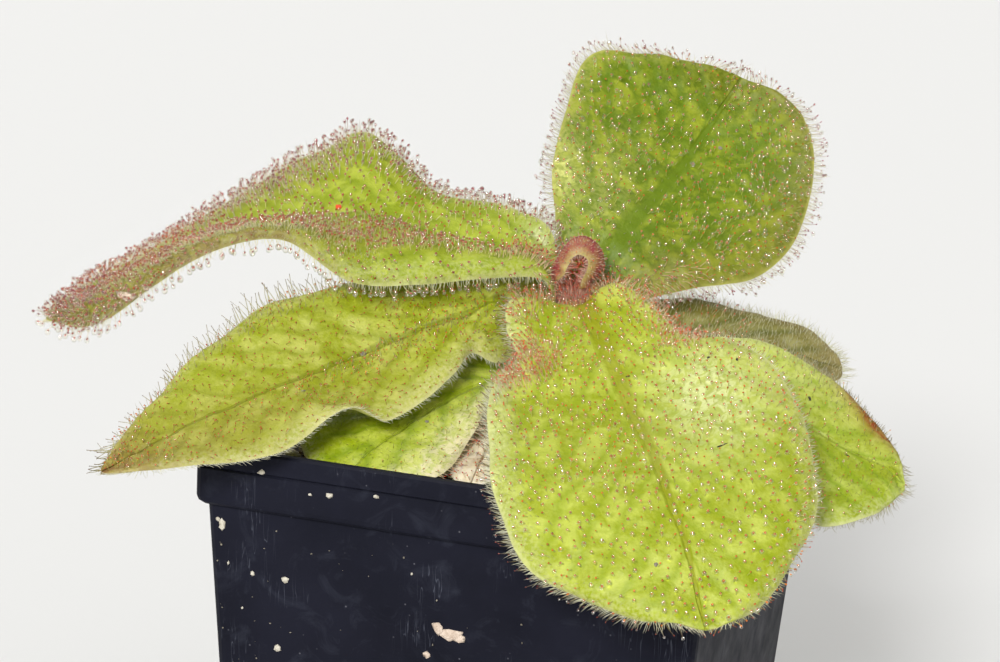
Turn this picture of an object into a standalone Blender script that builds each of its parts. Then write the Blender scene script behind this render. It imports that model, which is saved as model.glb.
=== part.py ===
"""Potted sundew: a broad-leaved, sticky-haired rosette in a square plastic nursery pot.

Metres, +Z up. The origin is the middle of the pot's underside, on the surface that it
stands on, and the pot's sides run along X and Y.
"""

import math
import random

import bmesh
import bpy
from mathutils import Matrix, Vector
from mathutils.bvhtree import BVHTree

MM = 0.001

# The pot: 9 cm square at the rim, thin black plastic, in millimetres from here on.
POT_HEIGHT = 85.0
RIM_SIDE = 91.2
WALL = 1.3
LIP_HEIGHT = 3.4
RIM_EDGE = 0.4
FOOT_EDGE = 0.8
GROOVE_DEPTH = 0.4
GROOVE_HEIGHT = 0.6
BAND_HEIGHT = 10.6
BAND_STEP = 1.6
BAND_ROUND = 1.4
BAND_ROUND_STEPS = 3
TAPER = 0.0625
CORNER = 2.2
CORNER_STEPS = 4
SOIL_STEPS = 6
FLOOR_THICKNESS = 1.6
DRAIN_DIAMETER = 8.0
DRAIN_OFFSET = 26.0
CLEARANCE = 0.3

# The soil, heaped a little towards the stem, with heights counted from the rim.
SOIL_AT_WALL = -6.0
SOIL_AT_STEM = 0.5
SOIL_LUMP = 0.5
SOIL_RINGS = 5

# The stem stands off the pot's middle, and its foot goes down into the soil.
PLANT_TURN = math.radians(17.5)
STEM_PLACE = (7.0, 3.0)
STEM_RADIUS = 3.5
STEM_TOP = 22.0
STEM_BOTTOM = -24.0
STEM_SIDES = 14
STEM_SCARS = 9
SCAR_DEPTH = 0.25
FOOT_GAP = 0.9
FOOT_SPREAD = math.radians(36)

# Leaves and their sticky hairs.
BLADE = 0.8
ROWS_ALONG = 13
ROWS_ACROSS = 8
HAIR_SIDES = 3
HAIR_RADIUS = 0.24
DEW_RADIUS = 0.48
HAIR_SUNK = 0.5
MARGIN_SIDE = 0.96
MARGIN_TRIES = 220
BLADE_TRIES = 900
CLEAR_OF_LEAVES = 0.9
CLEAR_OF_HAIRS = 1.4
SEED = 11

# Each leaf is three rails that run from near the stem to the tip, in millimetres from
# the middle of the rim on the plant's own axes: the margin on the right of someone who
# looks out from the stem, the midrib, and the margin on the left. foot is where it
# leaves the stem: its direction in degrees, and its height. puff is how far the right and
# the left half are blown up between midrib and margin. spacing and hair are the distance
# between its sticky hairs and their length.
LEAVES = {
    "leaf_front": {
        "foot": (285, 19.5),
        "right": [(-4, -5, 22), (-5, -9, 18), (-3, -15, 14), (-7.3, -22, 10), (-7.1, -38, 5),
                  (-5.4, -50, -1), (1, -61, -9), (14, -68, -12), (24, -71, -13)],
        "rib": [(8, -3, 21), (11, -10, 18), (14, -18, 14), (17, -28, 9), (20, -40, 6), (22, -52, 3),
                (25, -62, -3), (27, -69, -10), (28, -72, -13)],
        "left": [(15, -2, 25), (22, -9, 22), (27, -14, 19), (33, -16, 20), (41, -25, 17), (46, -38, 9),
                 (46, -51, -1), (37, -65, -11), (31, -71, -13)],
        "puff": (1.2, 1.8), "spacing": 7.2, "hair": 2.6, "colour": "leaf_green",
    },
    "leaf_left": {
        "foot": (172, 19.5),
        "right": [(2, 9, 32.4), (-8, 17.5, 35), (-19, 20, 36), (-32, 23, 46), (-42, 22, 42),
                  (-56, 17, 34), (-71, 11, 24), (-81, 9, 18), (-87, 7, 14)],
        "rib": [(0, 5, 28), (-9, 4, 30), (-21, 4, 32), (-33, 5, 34), (-44, 4, 33),
                (-56, 3, 30), (-69, 3, 24), (-80, 3, 18), (-89, 5, 12)],
        "left": [(1.3, -1.8, 25.4), (-8, -5, 26), (-21, -9, 25), (-33, -10, 25.2), (-45, -6, 31),
                 (-57, -6, 28.6), (-68, -5, 21.3), (-77, -3, 14), (-87, 3, 10)],
        "puff": (0.4, 2.0), "spacing": 5.6, "hair": 3.0, "colour": "leaf_lime",
    },
    "leaf_lower_left": {
        "foot": (200, 15.5),
        "right": [(-0.4, 4.4, 24.6), (-11.6, 4.4, 24.4), (-23, 4, 23.2), (-37, 0, 22), (-47, -4, 19), (-54, -9, 15),
                  (-59, -15, 11), (-66, -26, 4), (-71, -40, -1)],
        "rib": [(-6.5, -2, 21.2), (-11.7, -5, 19.6), (-19, -8, 17.4), (-29, -12, 13.4), (-37, -18, 11),
                (-46, -24, 8), (-55, -30, 5), (-64, -36, 1), (-71, -42, -2)],
        "left": [(-5.5, -10, 12), (-11, -12.5, 14), (-14, -19, 11.6), (-19, -25, 8), (-25, -30, 6),
                 (-32, -33, 8), (-42, -39, 2), (-56, -42, 0), (-69, -43, -2)],
        "puff": (1.2, 0.8), "spacing": 8.0, "hair": 2.4, "colour": "leaf_green",
    },
    "leaf_under_left": {
        "foot": (236, 7.5),
        "right": [(-9.5, -1.5, 12.2), (-21, -7, 9.4), (-32, -16, 5), (-39, -24, 1), (-38, -31, -2)],
        "rib": [(-1, -7, 9), (-11, -14, 8), (-20, -22, 4), (-27, -29, 0), (-32, -34, -4)],
        "left": [(2, -10, 10), (-7, -19, 7), (-10, -26, 3), (-15, -34, -2), (-25, -36, -4)],
        "puff": (0.6, 0.6), "spacing": 9.0, "hair": 2.2, "colour": "leaf_lime",
    },
    "leaf_upper_right": {
        "foot": (60, 18.5),
        "right": [(19, 5.5, 20.8), (29, 8, 23.2), (40, 13, 24.6), (48, 22, 30), (52, 34, 41),
                  (50, 45, 50), (43.5, 51, 54.3)],
        "rib": [(13, 9, 28), (17, 15, 33), (21, 23, 36), (26, 32, 40), (31, 42, 45.5),
                (35.4, 49, 51.4), (38.6, 53, 55.8)],
        "left": [(3.4, 10, 30), (2.4, 16, 35.6), (2, 24, 42), (4, 34, 50), (8, 46, 59),
                 (20, 50, 60), (34, 53, 57.6)],
        "puff": (1.2, 1.2), "spacing": 7.2, "hair": 2.6, "colour": "leaf_lime",
    },
    "leaf_right_back": {
        "foot": (18, 13.5),
        "right": [(19, 1, 13), (30, -1, 11), (41, -1, 9), (50, 0, 8), (56, 3, 8)],
        "rib": [(20, 7, 16), (30, 8, 15), (41, 9, 13), (50, 9, 11), (57, 7, 9)],
        "left": [(19, 12, 19), (30, 17, 19), (41, 21, 16), (51, 19, 14), (57, 11, 11)],
        "puff": (0.6, 0.6), "spacing": 10.0, "hair": 2.2, "colour": "leaf_olive",
    },
    "leaf_right": {
        "foot": (335, 8.5),
        "right": [(18, -7, 9), (27, -17, 6), (35, -27, 3), (42, -35, -2), (49, -39, -6),
                  (58, -34, -5), (64, -26, -4)],
        "rib": [(19, -3, 10), (29, -7, 10), (39, -11, 8), (46, -15, 6), (55, -19, 2),
                (61, -22, 0), (65, -24, -3)],
        "left": [(20, 0, 12), (29, -1, 15), (40, 1, 16), (49, -2, 13), (56, -7, 9),
                 (62, -14, 3), (65, -21, -1)],
        "puff": (0.8, 0.8), "spacing": 9.5, "hair": 2.4, "colour": "leaf_green",
    },
    "leaf_back": {
        "foot": (118, 9.0),
        "right": [(8, 18, 12), (10, 32, 13), (5, 46, 10), (-5, 58, 4), (-18, 66, -3)],
        "rib": [(1, 15, 13), (-6, 30, 14), (-13, 45, 11), (-19, 57, 5), (-24, 66, -3)],
        "left": [(-8, 15, 13), (-22, 24, 12), (-32, 37, 9), (-34, 51, 5), (-29, 63, -1)],
        "puff": (0.8, 0.8), "spacing": 9.5, "hair": 2.2, "colour": "leaf_green",
    },
    "leaf_dry": {
        "foot": (262, 4.5),
        "right": [(-1, -6, 5), (-9, -15, 4), (-12, -24, 1), (-14, -33, -3)],
        "rib": [(4, -5, 5), (-3, -15, 4), (-7, -25, 1), (-10, -35, -3)],
        "left": [(7, -7, 5), (3, -16, 3), (-2, -26, 1), (-6, -35, -3)],
        "puff": (0.0, 0.0), "spacing": 9.0, "hair": 2.0, "colour": "leaf_dry",
    },
    "leaf_new": {
        "foot": None,
        "right": [(7.4, -1.6, 24), (8.7, -2.4, 27.8), (8.7, -2.4, 29.6), (7.4, -2.4, 30.5), (6, -2.4, 29.9),
                  (5.1, -2.2, 28), (4.8, -1.8, 26)],
        "rib": [(8.8, 1, 24.3), (10.8, 0.9, 27.6), (10.3, 0.7, 31), (7.7, 0.5, 32.7), (5, 0.4, 31.3),
                (3.5, 0.4, 28), (3.3, 0.4, 24.8)],
        "left": [(7.4, 3.6, 25), (8.7, 3.8, 28), (8.7, 3.8, 29.6), (7.4, 3.6, 30.4), (6, 3.4, 29.8),
                 (5.1, 3.2, 28), (4.8, 2.8, 26)],
        "puff": (0.0, 0.0), "spacing": 5.0, "hair": 1.8, "colour": "leaf_red",
    },
}

COLOURS = {
    "pot_plastic": ((0.014, 0.015, 0.021), 0.42),
    "soil": ((0.055, 0.035, 0.022), 0.95),
    "stem": ((0.16, 0.12, 0.05), 0.8),
    "leaf_green": ((0.17, 0.34, 0.05), 0.45),
    "leaf_lime": ((0.33, 0.47, 0.08), 0.42),
    "leaf_olive": ((0.12, 0.2, 0.04), 0.5),
    "leaf_dry": ((0.45, 0.36, 0.24), 0.8),
    "leaf_red": ((0.42, 0.11, 0.07), 0.45),
}


def clear_scene():
    for obj in list(bpy.data.objects):
        bpy.data.objects.remove(obj)


def material(name):
    colour, roughness = COLOURS[name]
    made = bpy.data.materials.get(name)
    if made is None:
        made = bpy.data.materials.new(name)
        made.use_nodes = True
        shader = made.node_tree.nodes["Principled BSDF"]
        shader.inputs["Base Color"].default_value = (*colour, 1.0)
        shader.inputs["Roughness"].default_value = roughness
        shader.inputs["Metallic"].default_value = 0.0
    return made


def object_from(bm, name, colour=None, collection=None):
    mesh = bpy.data.meshes.new(name)
    bm.to_mesh(mesh)
    bm.free()
    obj = bpy.data.objects.new(name, mesh)
    (collection or bpy.context.scene.collection).objects.link(obj)
    if colour:
        mesh.materials.append(material(colour))
    return obj


def smooth(obj, angle=40):
    obj.data.shade_smooth()
    obj.data.set_sharp_from_angle(angle=math.radians(angle))


def loft(rings):
    """One closed body through rings of points that all run the same way round, seen from
    the far end of the loft. A ring of one point closes that end to a tip."""
    bm = bmesh.new()
    rows = [[bm.verts.new(point) for point in ring] for ring in rings]
    for lower, upper in zip(rows, rows[1:]):
        count = max(len(lower), len(upper))
        for i in range(count):
            j = (i + 1) % count
            corners = [lower[i % len(lower)], lower[j % len(lower)]]
            corners += [upper[j % len(upper)], upper[i % len(upper)]]
            bm.faces.new(list(dict.fromkeys(corners)))
    for ends, turned in ((rows[0], True), (rows[-1], False)):
        if len(ends) > 2:
            bm.faces.new(ends[::-1] if turned else ends)
    return bm


def boolean(obj, operation, cutter=None, collection=None):
    """Applies one Boolean to the object and leaves no modifier behind."""
    modifier = obj.modifiers.new("boolean", "BOOLEAN")
    modifier.operation = operation
    modifier.solver = "EXACT"
    if collection:
        modifier.operand_type = "COLLECTION"
        modifier.collection = collection
    else:
        modifier.object = cutter
    bpy.context.view_layer.update()
    graph = bpy.context.evaluated_depsgraph_get()
    joined = bpy.data.meshes.new_from_object(obj.evaluated_get(graph))
    obj.modifiers.remove(modifier)
    obj.data = joined
    joined.name = obj.name


def rounded_square(half, corner, height, side_steps=0):
    """The points of a square with round corners, anticlockwise seen from above, with
    side_steps more along each straight side."""
    points = []
    reach = (half - corner) * math.sqrt(2)
    for quarter in range(4):
        start = math.pi / 2 * quarter
        middle = start + math.pi / 4
        centre = Vector((reach * math.cos(middle), reach * math.sin(middle), height))
        for step in range(CORNER_STEPS + 1):
            angle = start + math.pi / 2 * step / CORNER_STEPS
            points.append((centre + Vector((math.cos(angle), math.sin(angle), 0)) * corner) * MM)
        end = points[-1]
        side = Vector((-math.cos(start), -math.sin(start), 0)) * 2 * (half - corner) * MM
        for step in range(1, side_steps + 1):
            points.append(end + side * step / (side_steps + 1))
    return points


def wall_half(height):
    """Half the pot's outer side under the band, at a height above its underside."""
    return RIM_SIDE / 2 - BAND_STEP - TAPER * (POT_HEIGHT - BAND_HEIGHT - height)


def make_pot():
    top = POT_HEIGHT
    half = RIM_SIDE / 2
    inner = half - WALL - GROOVE_DEPTH
    band_low = top - BAND_HEIGHT
    groove = top - LIP_HEIGHT
    outside = [(wall_half(0) - FOOT_EDGE, 0.0), (wall_half(0), FOOT_EDGE), (wall_half(band_low), band_low)]
    for step in range(BAND_ROUND_STEPS + 1):
        angle = math.pi / 2 * step / BAND_ROUND_STEPS
        rise = BAND_ROUND * (1 - math.cos(angle))
        outside.append((half - BAND_ROUND * (1 - math.sin(angle)), band_low + rise))
    outside += [
        (half, groove - GROOVE_HEIGHT),
        (half - GROOVE_DEPTH, groove - GROOVE_HEIGHT / 2),
        (half, groove),
        (half, top - RIM_EDGE),
        (half - RIM_EDGE, top),
    ]
    inside = [
        (inner + RIM_EDGE / 2, top),
        (inner, top - RIM_EDGE),
        (inner, band_low + BAND_ROUND + BAND_STEP / 2),
        (wall_half(band_low) - WALL, band_low - BAND_STEP / 3),
        (wall_half(FLOOR_THICKNESS) - WALL, FLOOR_THICKNESS),
    ]
    rings = [rounded_square(width, CORNER, height) for width, height in outside]
    rings += [rounded_square(width, CORNER - WALL, height) for width, height in inside]
    pot = object_from(loft(rings), "pot", "pot_plastic")
    for quarter in range(4):
        angle = math.radians(45 + 90 * quarter)
        boolean(pot, "DIFFERENCE", drain_cutter(angle))
    smooth(pot, 30)
    return pot


def drain_cutter(angle):
    bm = bmesh.new()
    place = Matrix.Translation((
        DRAIN_OFFSET * math.sqrt(2) * math.cos(angle) * MM,
        DRAIN_OFFSET * math.sqrt(2) * math.sin(angle) * MM,
        FLOOR_THICKNESS / 2 * MM,
    ))
    bmesh.ops.create_cone(
        bm, cap_ends=True, segments=16, radius1=DRAIN_DIAMETER / 2 * MM,
        radius2=DRAIN_DIAMETER / 2 * MM, depth=4 * FLOOR_THICKNESS * MM, matrix=place,
    )
    cutter = object_from(bm, "drain_cutter")
    cutter.hide_render = True
    cutter.display_type = "WIRE"
    return cutter


def on_pot(x, y, z):
    """A place on the plant's own axes, in millimetres from the rim's middle, in metres."""
    cos, sin = math.cos(PLANT_TURN), math.sin(PLANT_TURN)
    return Vector((x * cos - y * sin, x * sin + y * cos, z + POT_HEIGHT)) * MM


def soil_height(share, lump):
    """The soil's surface at a share of the way from the stem to the wall."""
    rise = SOIL_AT_STEM - SOIL_AT_WALL
    return SOIL_AT_WALL + rise * (0.5 + 0.5 * math.cos(math.pi * share)) + lump


def make_soil():
    rng = random.Random(SEED)
    low = FLOOR_THICKNESS + CLEARANCE
    shoulder = POT_HEIGHT - BAND_HEIGHT - 1.0
    hole = STEM_RADIUS + CLEARANCE

    def against_wall(height):
        half = wall_half(height) - WALL - CLEARANCE
        return rounded_square(half, CORNER - WALL, height, SOIL_STEPS)

    edge = against_wall(shoulder)
    rings = [against_wall(low), edge]
    axis = on_pot(*STEM_PLACE, 0)
    for ring in range(SOIL_RINGS + 1):
        share = 1 - ring / SOIL_RINGS
        points = []
        for point in edge:
            out = Vector((point.x - axis.x, point.y - axis.y, 0))
            near = out.normalized() * hole * MM
            lump = rng.uniform(-SOIL_LUMP, SOIL_LUMP) if 0 < ring < SOIL_RINGS else 0.0
            place = near.lerp(out, share)
            height = (POT_HEIGHT + soil_height(share, lump)) * MM
            points.append(Vector((axis.x + place.x, axis.y + place.y, height)))
        rings.append(points)
    bottom = (POT_HEIGHT + STEM_BOTTOM - CLEARANCE) * MM
    rings.append([Vector((point.x, point.y, bottom)) for point in rings[-1]])
    soil = object_from(loft(rings), "soil", "soil")
    smooth(soil, 60)
    return soil


def stem_ring(radius, height, ripple=0.0):
    axis = on_pot(*STEM_PLACE, height)
    points = []
    for side in range(STEM_SIDES):
        angle = math.tau * side / STEM_SIDES
        reach = (radius + ripple * math.cos(3 * angle + height)) * MM
        points.append(axis + Vector((reach * math.cos(angle), reach * math.sin(angle), 0)))
    return points


def make_stem():
    """A short stem of close leaf scars: round where the leaves leave it, and domed on top."""
    rings = [stem_ring(STEM_RADIUS * 0.6, STEM_BOTTOM), stem_ring(STEM_RADIUS, STEM_BOTTOM + 3)]
    for scar in range(STEM_SCARS):
        height = SOIL_AT_STEM + 1 + (STEM_TOP - 4 - SOIL_AT_STEM) * scar / STEM_SCARS
        depth = SCAR_DEPTH * (scar % 2)
        rings.append(stem_ring(STEM_RADIUS - depth, height, depth / 2))
    rings += [
        stem_ring(STEM_RADIUS * 0.98, STEM_TOP - 2.2),
        stem_ring(STEM_RADIUS * 0.8, STEM_TOP - 0.9),
        stem_ring(STEM_RADIUS * 0.4, STEM_TOP - 0.2),
        [on_pot(*STEM_PLACE, STEM_TOP)],
    ]
    stem = object_from(loft(rings), "stem", "stem")
    smooth(stem)
    return stem


def foot_station(direction, height):
    """Where a leaf meets the stem: right, middle and left, wrapped a little round it."""
    reach = STEM_RADIUS + FOOT_GAP
    station = []
    for turn in (-FOOT_SPREAD, 0.0, FOOT_SPREAD):
        angle = math.radians(direction) + turn
        x = STEM_PLACE[0] + reach * math.cos(angle)
        y = STEM_PLACE[1] + reach * math.sin(angle)
        station.append(on_pot(x, y, height))
    return station


def rails_of(leaf):
    """The three rails as points in metres, starting at the leaf's foot on the stem."""
    rails = [[on_pot(*point) for point in leaf[side]] for side in ("right", "rib", "left")]
    if leaf["foot"]:
        for rail, foot in zip(rails, foot_station(*leaf["foot"])):
            rail.insert(0, foot)
    return rails


def along(rail, share):
    """The point at a share of the way along a smooth curve through the rail's points."""
    place = min(max(share, 0.0), 1.0) * (len(rail) - 1)
    i = min(int(place), len(rail) - 2)
    t = place - i
    b, c = rail[i], rail[i + 1]
    a = rail[i - 1] if i > 0 else b * 2 - c
    d = rail[i + 2] if i + 2 < len(rail) else c * 2 - b
    return 0.5 * (
        b * 2 + (c - a) * t + (a * 2 - b * 5 + c * 4 - d) * t * t + (b * 3 - a - c * 3 + d) * t * t * t
    )


def on_blade(rails, puff, share, side):
    """The point at a share of the leaf's length, with side from -1, its right margin, to 1."""
    right, rib, left = (along(rail, share) for rail in rails)
    point = rib + (left - right) * (side / 2) + ((left + right) / 2 - rib) * side * side
    width = (left - right).length
    ahead = along(rails[1], share + 0.02) - along(rails[1], share - 0.02)
    up = ahead.cross(left - right).normalized()
    swell = 4 * side * side * (1 - side * side) * min(1.0, width / (20 * MM))
    return point + up * puff[side > 0] * swell * MM


def blade_normal(rails, puff, share, side):
    step = 0.01
    ahead = on_blade(rails, puff, share + step, side) - on_blade(rails, puff, share - step, side)
    across = on_blade(rails, puff, share, side + step) - on_blade(rails, puff, share, side - step)
    return ahead.cross(across).normalized()


def blade_sheet(leaf):
    """The leaf's middle surface in triangles, with its rows closer together near the tip."""
    rails = rails_of(leaf)
    bm = bmesh.new()
    bmesh.ops.create_grid(bm, x_segments=ROWS_ALONG, y_segments=ROWS_ACROSS, size=1.0)
    for vert in bm.verts:
        even = (vert.co.x + 1) / 2
        share = 0.55 * even + 0.45 * math.sin(even * math.pi / 2)
        vert.co = on_blade(rails, leaf["puff"], share, vert.co.y)
    bmesh.ops.triangulate(bm, faces=bm.faces, quad_method="BEAUTY")
    return bm


def make_blade(name, leaf):
    blade = object_from(blade_sheet(leaf), name, leaf["colour"])
    thick = blade.modifiers.new("thickness", "SOLIDIFY")
    thick.thickness = BLADE * MM
    thick.offset = 0.0
    bpy.context.view_layer.update()
    graph = bpy.context.evaluated_depsgraph_get()
    solid = bpy.data.meshes.new_from_object(blade.evaluated_get(graph))
    blade.modifiers.clear()
    blade.data = solid
    return blade


def ring_round(centre, direction, radius):
    across = direction.orthogonal().normalized()
    over = direction.cross(across).normalized()
    points = []
    for side in range(HAIR_SIDES):
        angle = math.tau * side / HAIR_SIDES
        points.append(centre + (across * math.cos(angle) + over * math.sin(angle)) * radius * MM)
    return points


def make_hair(root, direction, length, collection):
    """A stalk with three sides and a drop of dew on its end, its root sunk in the blade."""
    foot = root - direction * HAIR_SUNK * MM
    neck = root + direction * (length - 2 * DEW_RADIUS) * MM
    middle = root + direction * (length - DEW_RADIUS) * MM
    rings = [
        ring_round(foot, direction, HAIR_RADIUS * 1.2),
        ring_round(neck, direction, HAIR_RADIUS),
        ring_round(middle, direction, DEW_RADIUS),
        [root + direction * length * MM],
    ]
    return object_from(loft(rings), "hair", None, collection)


def touches(root, direction, length, others, own, tips):
    """Whether a hair would come too near another piece, its own leaf or another leaf's hair."""
    tip = root + direction * length * MM
    middle = root.lerp(tip, 0.6)
    start = root + direction * 0.8 * MM
    if own.ray_cast(start, direction, length * MM)[0] is not None:
        return True
    for tree in others:
        if tree.ray_cast(root, direction, (length + 0.6) * MM)[0] is not None:
            return True
        if tree.find_nearest(tip, CLEAR_OF_LEAVES * MM)[0] is not None:
            return True
        if tree.find_nearest(middle, CLEAR_OF_LEAVES * MM * 0.7)[0] is not None:
            return True
    return any((point - other).length < CLEAR_OF_HAIRS * MM for other in tips for point in (tip, middle))


def hair_places(leaf, rng):
    """Seeded places for hairs, no two nearer than the leaf's spacing: the margins first."""
    rails = rails_of(leaf)
    margins = (-MARGIN_SIDE, MARGIN_SIDE)
    wanted = [(rng.uniform(0.14, 1.0), rng.choice(margins)) for _ in range(MARGIN_TRIES)]
    wanted += [(rng.uniform(0.12, 0.97), rng.uniform(-0.85, 0.85)) for _ in range(BLADE_TRIES)]
    places = []
    for share, side in wanted:
        root = on_blade(rails, leaf["puff"], share, side)
        if all((root - other[0]).length > leaf["spacing"] * MM for other in places):
            places.append((root, share, side))
    return places


def hair_direction(leaf, share, side, rng):
    """Upright on the blade, and leaning out past the margin near it."""
    rails = rails_of(leaf)
    up = blade_normal(rails, leaf["puff"], share, side * 0.95)
    out = (along(rails[2], share) - along(rails[0], share)).normalized()
    lean = 1.3 * side ** 5 + rng.uniform(-0.25, 0.25)
    ahead = (along(rails[1], min(share + 0.05, 1)) - along(rails[1], share - 0.05)).normalized()
    forward = rng.uniform(-0.2, 0.2) + (0.9 if share > 0.97 else 0.0)
    return (up + out * lean + ahead * forward).normalized()


def keep_body(obj):
    """Leaves only the largest closed surface, which drops loose scraps and fills hollows."""
    bm = bmesh.new()
    bm.from_mesh(obj.data)
    unseen = set(bm.verts)
    islands = []
    while unseen:
        queue = [unseen.pop()]
        island = list(queue)
        while queue:
            for edge in queue.pop().link_edges:
                for vert in edge.verts:
                    if vert in unseen:
                        unseen.remove(vert)
                        queue.append(vert)
                        island.append(vert)
        islands.append(island)
    islands.sort(key=len)
    for island in islands[:-1]:
        bmesh.ops.delete(bm, geom=island, context="VERTS")
    bm.to_mesh(obj.data)
    bm.free()


def add_hairs(blades, fixed):
    """Places each leaf's hairs clear of everything else, then joins them to it."""
    graph = bpy.context.evaluated_depsgraph_get()
    trees = {obj.name: BVHTree.FromObject(obj, graph) for obj in [*blades.values(), *fixed]}
    tips_of = {name: [] for name in blades}
    for number, (name, blade) in enumerate(blades.items()):
        leaf = LEAVES[name]
        rng = random.Random(SEED + number)
        hairs = bpy.data.collections.new(name + "_hairs")
        bpy.context.scene.collection.children.link(hairs)
        others = [tree for other, tree in trees.items() if other != name]
        taken = [tip for other, tips in tips_of.items() if other != name for tip in tips]
        for root, share, side in hair_places(leaf, rng):
            direction = hair_direction(leaf, share, side, rng)
            length = leaf["hair"] * rng.uniform(0.85, 1.15)
            if touches(root, direction, length, others, trees[name], taken):
                continue
            make_hair(root, direction, length, hairs)
            tips_of[name] += [root + direction * length * MM, root + direction * length * 0.6 * MM]
        if hairs.objects:
            boolean(blade, "UNION", collection=hairs)
        for hair in list(hairs.objects):
            bpy.data.objects.remove(hair)
        bpy.data.collections.remove(hairs)
        keep_body(blade)


def main():
    clear_scene()
    pot = make_pot()
    soil = make_soil()
    stem = make_stem()
    blades = {name: make_blade(name, leaf) for name, leaf in LEAVES.items()}
    add_hairs(blades, [pot, soil, stem])
    for blade in blades.values():
        smooth(blade, 50)


main()
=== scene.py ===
# Potted sundew: fine leaves, sticky hairs, dew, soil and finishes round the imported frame.
# Places are in millimetres on the plant's own axes, x to the right, y away and z up from
# the rim's middle, and toPot turns them into the frame's.
import math

import bpy
import numpy as np
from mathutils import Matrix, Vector


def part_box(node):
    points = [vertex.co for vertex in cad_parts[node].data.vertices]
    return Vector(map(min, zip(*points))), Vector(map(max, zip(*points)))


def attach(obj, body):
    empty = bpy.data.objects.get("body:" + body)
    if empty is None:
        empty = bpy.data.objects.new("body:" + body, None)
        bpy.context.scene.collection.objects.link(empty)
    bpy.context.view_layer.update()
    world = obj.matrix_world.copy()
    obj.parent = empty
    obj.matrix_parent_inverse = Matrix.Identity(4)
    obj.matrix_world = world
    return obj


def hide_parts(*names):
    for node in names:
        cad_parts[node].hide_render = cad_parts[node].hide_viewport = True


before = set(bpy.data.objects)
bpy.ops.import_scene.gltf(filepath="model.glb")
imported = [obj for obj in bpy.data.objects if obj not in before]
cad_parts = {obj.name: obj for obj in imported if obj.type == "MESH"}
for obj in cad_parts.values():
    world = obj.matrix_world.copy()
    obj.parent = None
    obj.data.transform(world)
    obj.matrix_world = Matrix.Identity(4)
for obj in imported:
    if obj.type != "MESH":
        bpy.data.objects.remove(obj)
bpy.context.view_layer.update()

mm = 0.001
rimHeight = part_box("pot")[1].z / mm
plantTurn = math.radians(17.5)
stemPlace = (7.0, 3.0)
stemRadius = 3.5
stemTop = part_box("stem")[1].z / mm - rimHeight
footGap = 0.9  # a leaf's foot stands this far off the stem
footSpread = math.radians(36)


def toPot(points):
    # millimetres on the plant's axes to metres in the frame
    x, y, z = np.moveaxis(np.asarray(points, float), -1, 0)
    cos, sin = math.cos(plantTurn), math.sin(plantTurn)
    return np.stack([x * cos - y * sin, x * sin + y * cos, z + rimHeight], -1) * mm


def unit(vectors):
    size = np.linalg.norm(vectors, axis=-1, keepdims=True)
    return vectors / np.maximum(size, 1e-9)


def sRgb(red, green, blue):
    parts = [c / 255 for c in (red, green, blue)]
    return (*[c / 12.92 if c < 0.04 else ((c + 0.055) / 1.055) ** 2.4 for c in parts], 1.0)


def deselect():
    bpy.ops.object.select_all(action="DESELECT")


def readPoints(mesh):
    flat = np.zeros(len(mesh.vertices) * 3)
    mesh.vertices.foreach_get("co", flat)
    return flat.reshape(-1, 3)


def writePoints(mesh, points):
    mesh.vertices.foreach_set("co", np.asarray(points, float).ravel())
    mesh.update()


def belongs(piece, slot, *nodes):
    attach(piece, "root")
    if nodes:
        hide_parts(*nodes)


# Materials: helpers that add nodes to the material that was started last
tree = None


def startMaterial(name):
    global tree
    made = bpy.data.materials.new(name)
    made.use_nodes = True
    tree = made.node_tree
    return made, tree.nodes["Principled BSDF"]


def fill(node, values):
    # links each socket, or sets it where its value is the same all over
    for key, value in values.items():
        if isinstance(value, bpy.types.NodeSocket):
            tree.links.new(value, node.inputs[key])
        else:
            node.inputs[key].default_value = value


def addNode(kind, values=(), **settings):
    made = tree.nodes.new(kind)
    for key, value in settings.items():
        setattr(made, key, value)
    fill(made, dict(values))
    return made


def objectCoords(stretch=None):
    coords = addNode("ShaderNodeTexCoord").outputs["Object"]
    if stretch is None:
        return coords
    return addNode("ShaderNodeMapping", {"Vector": coords, "Scale": stretch}).outputs[0]


def cloud(coords, size, detail=3.0, rough=0.5, warp=0.0):
    # soft noise whose blotches are about size millimetres across
    values = {"Vector": coords, "Scale": 1 / (size * mm), "Detail": detail, "Roughness": rough}
    return addNode("ShaderNodeTexNoise", {**values, "Distortion": warp}).outputs[0]


def cells(coords, size):
    # how far each place is from the nearest of scattered points
    values = {"Vector": coords, "Scale": 1 / (size * mm)}
    return addNode("ShaderNodeTexVoronoi", values).outputs["Distance"]


def remap(value, low, high, toLow=0.0, toHigh=1.0):
    values = {"Value": value, "From Min": low, "From Max": high, "To Min": toLow, "To Max": toHigh}
    return addNode("ShaderNodeMapRange", values).outputs[0]


def sums(operation, first, second=0.5):
    return addNode("ShaderNodeMath", {0: first, 1: second}, operation=operation).outputs[0]


def times(first, second):
    return sums("MULTIPLY", first, second)


def blend(share, first, second, mode="MIX"):
    values = {0: share, 6: first, 7: second}
    return addNode("ShaderNodeMix", values, data_type="RGBA", blend_type=mode).outputs[2]


def lay(colour, mask, strength, over):
    # lays a colour over another where the mask is
    return blend(times(mask, strength), colour, over)


def bump(height, depth, strength=1.0, below=None):
    values = {"Height": height, "Distance": depth * mm, "Strength": strength}
    if below is not None:
        values["Normal"] = below
    return addNode("ShaderNodeBump", values).outputs[0]


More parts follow.
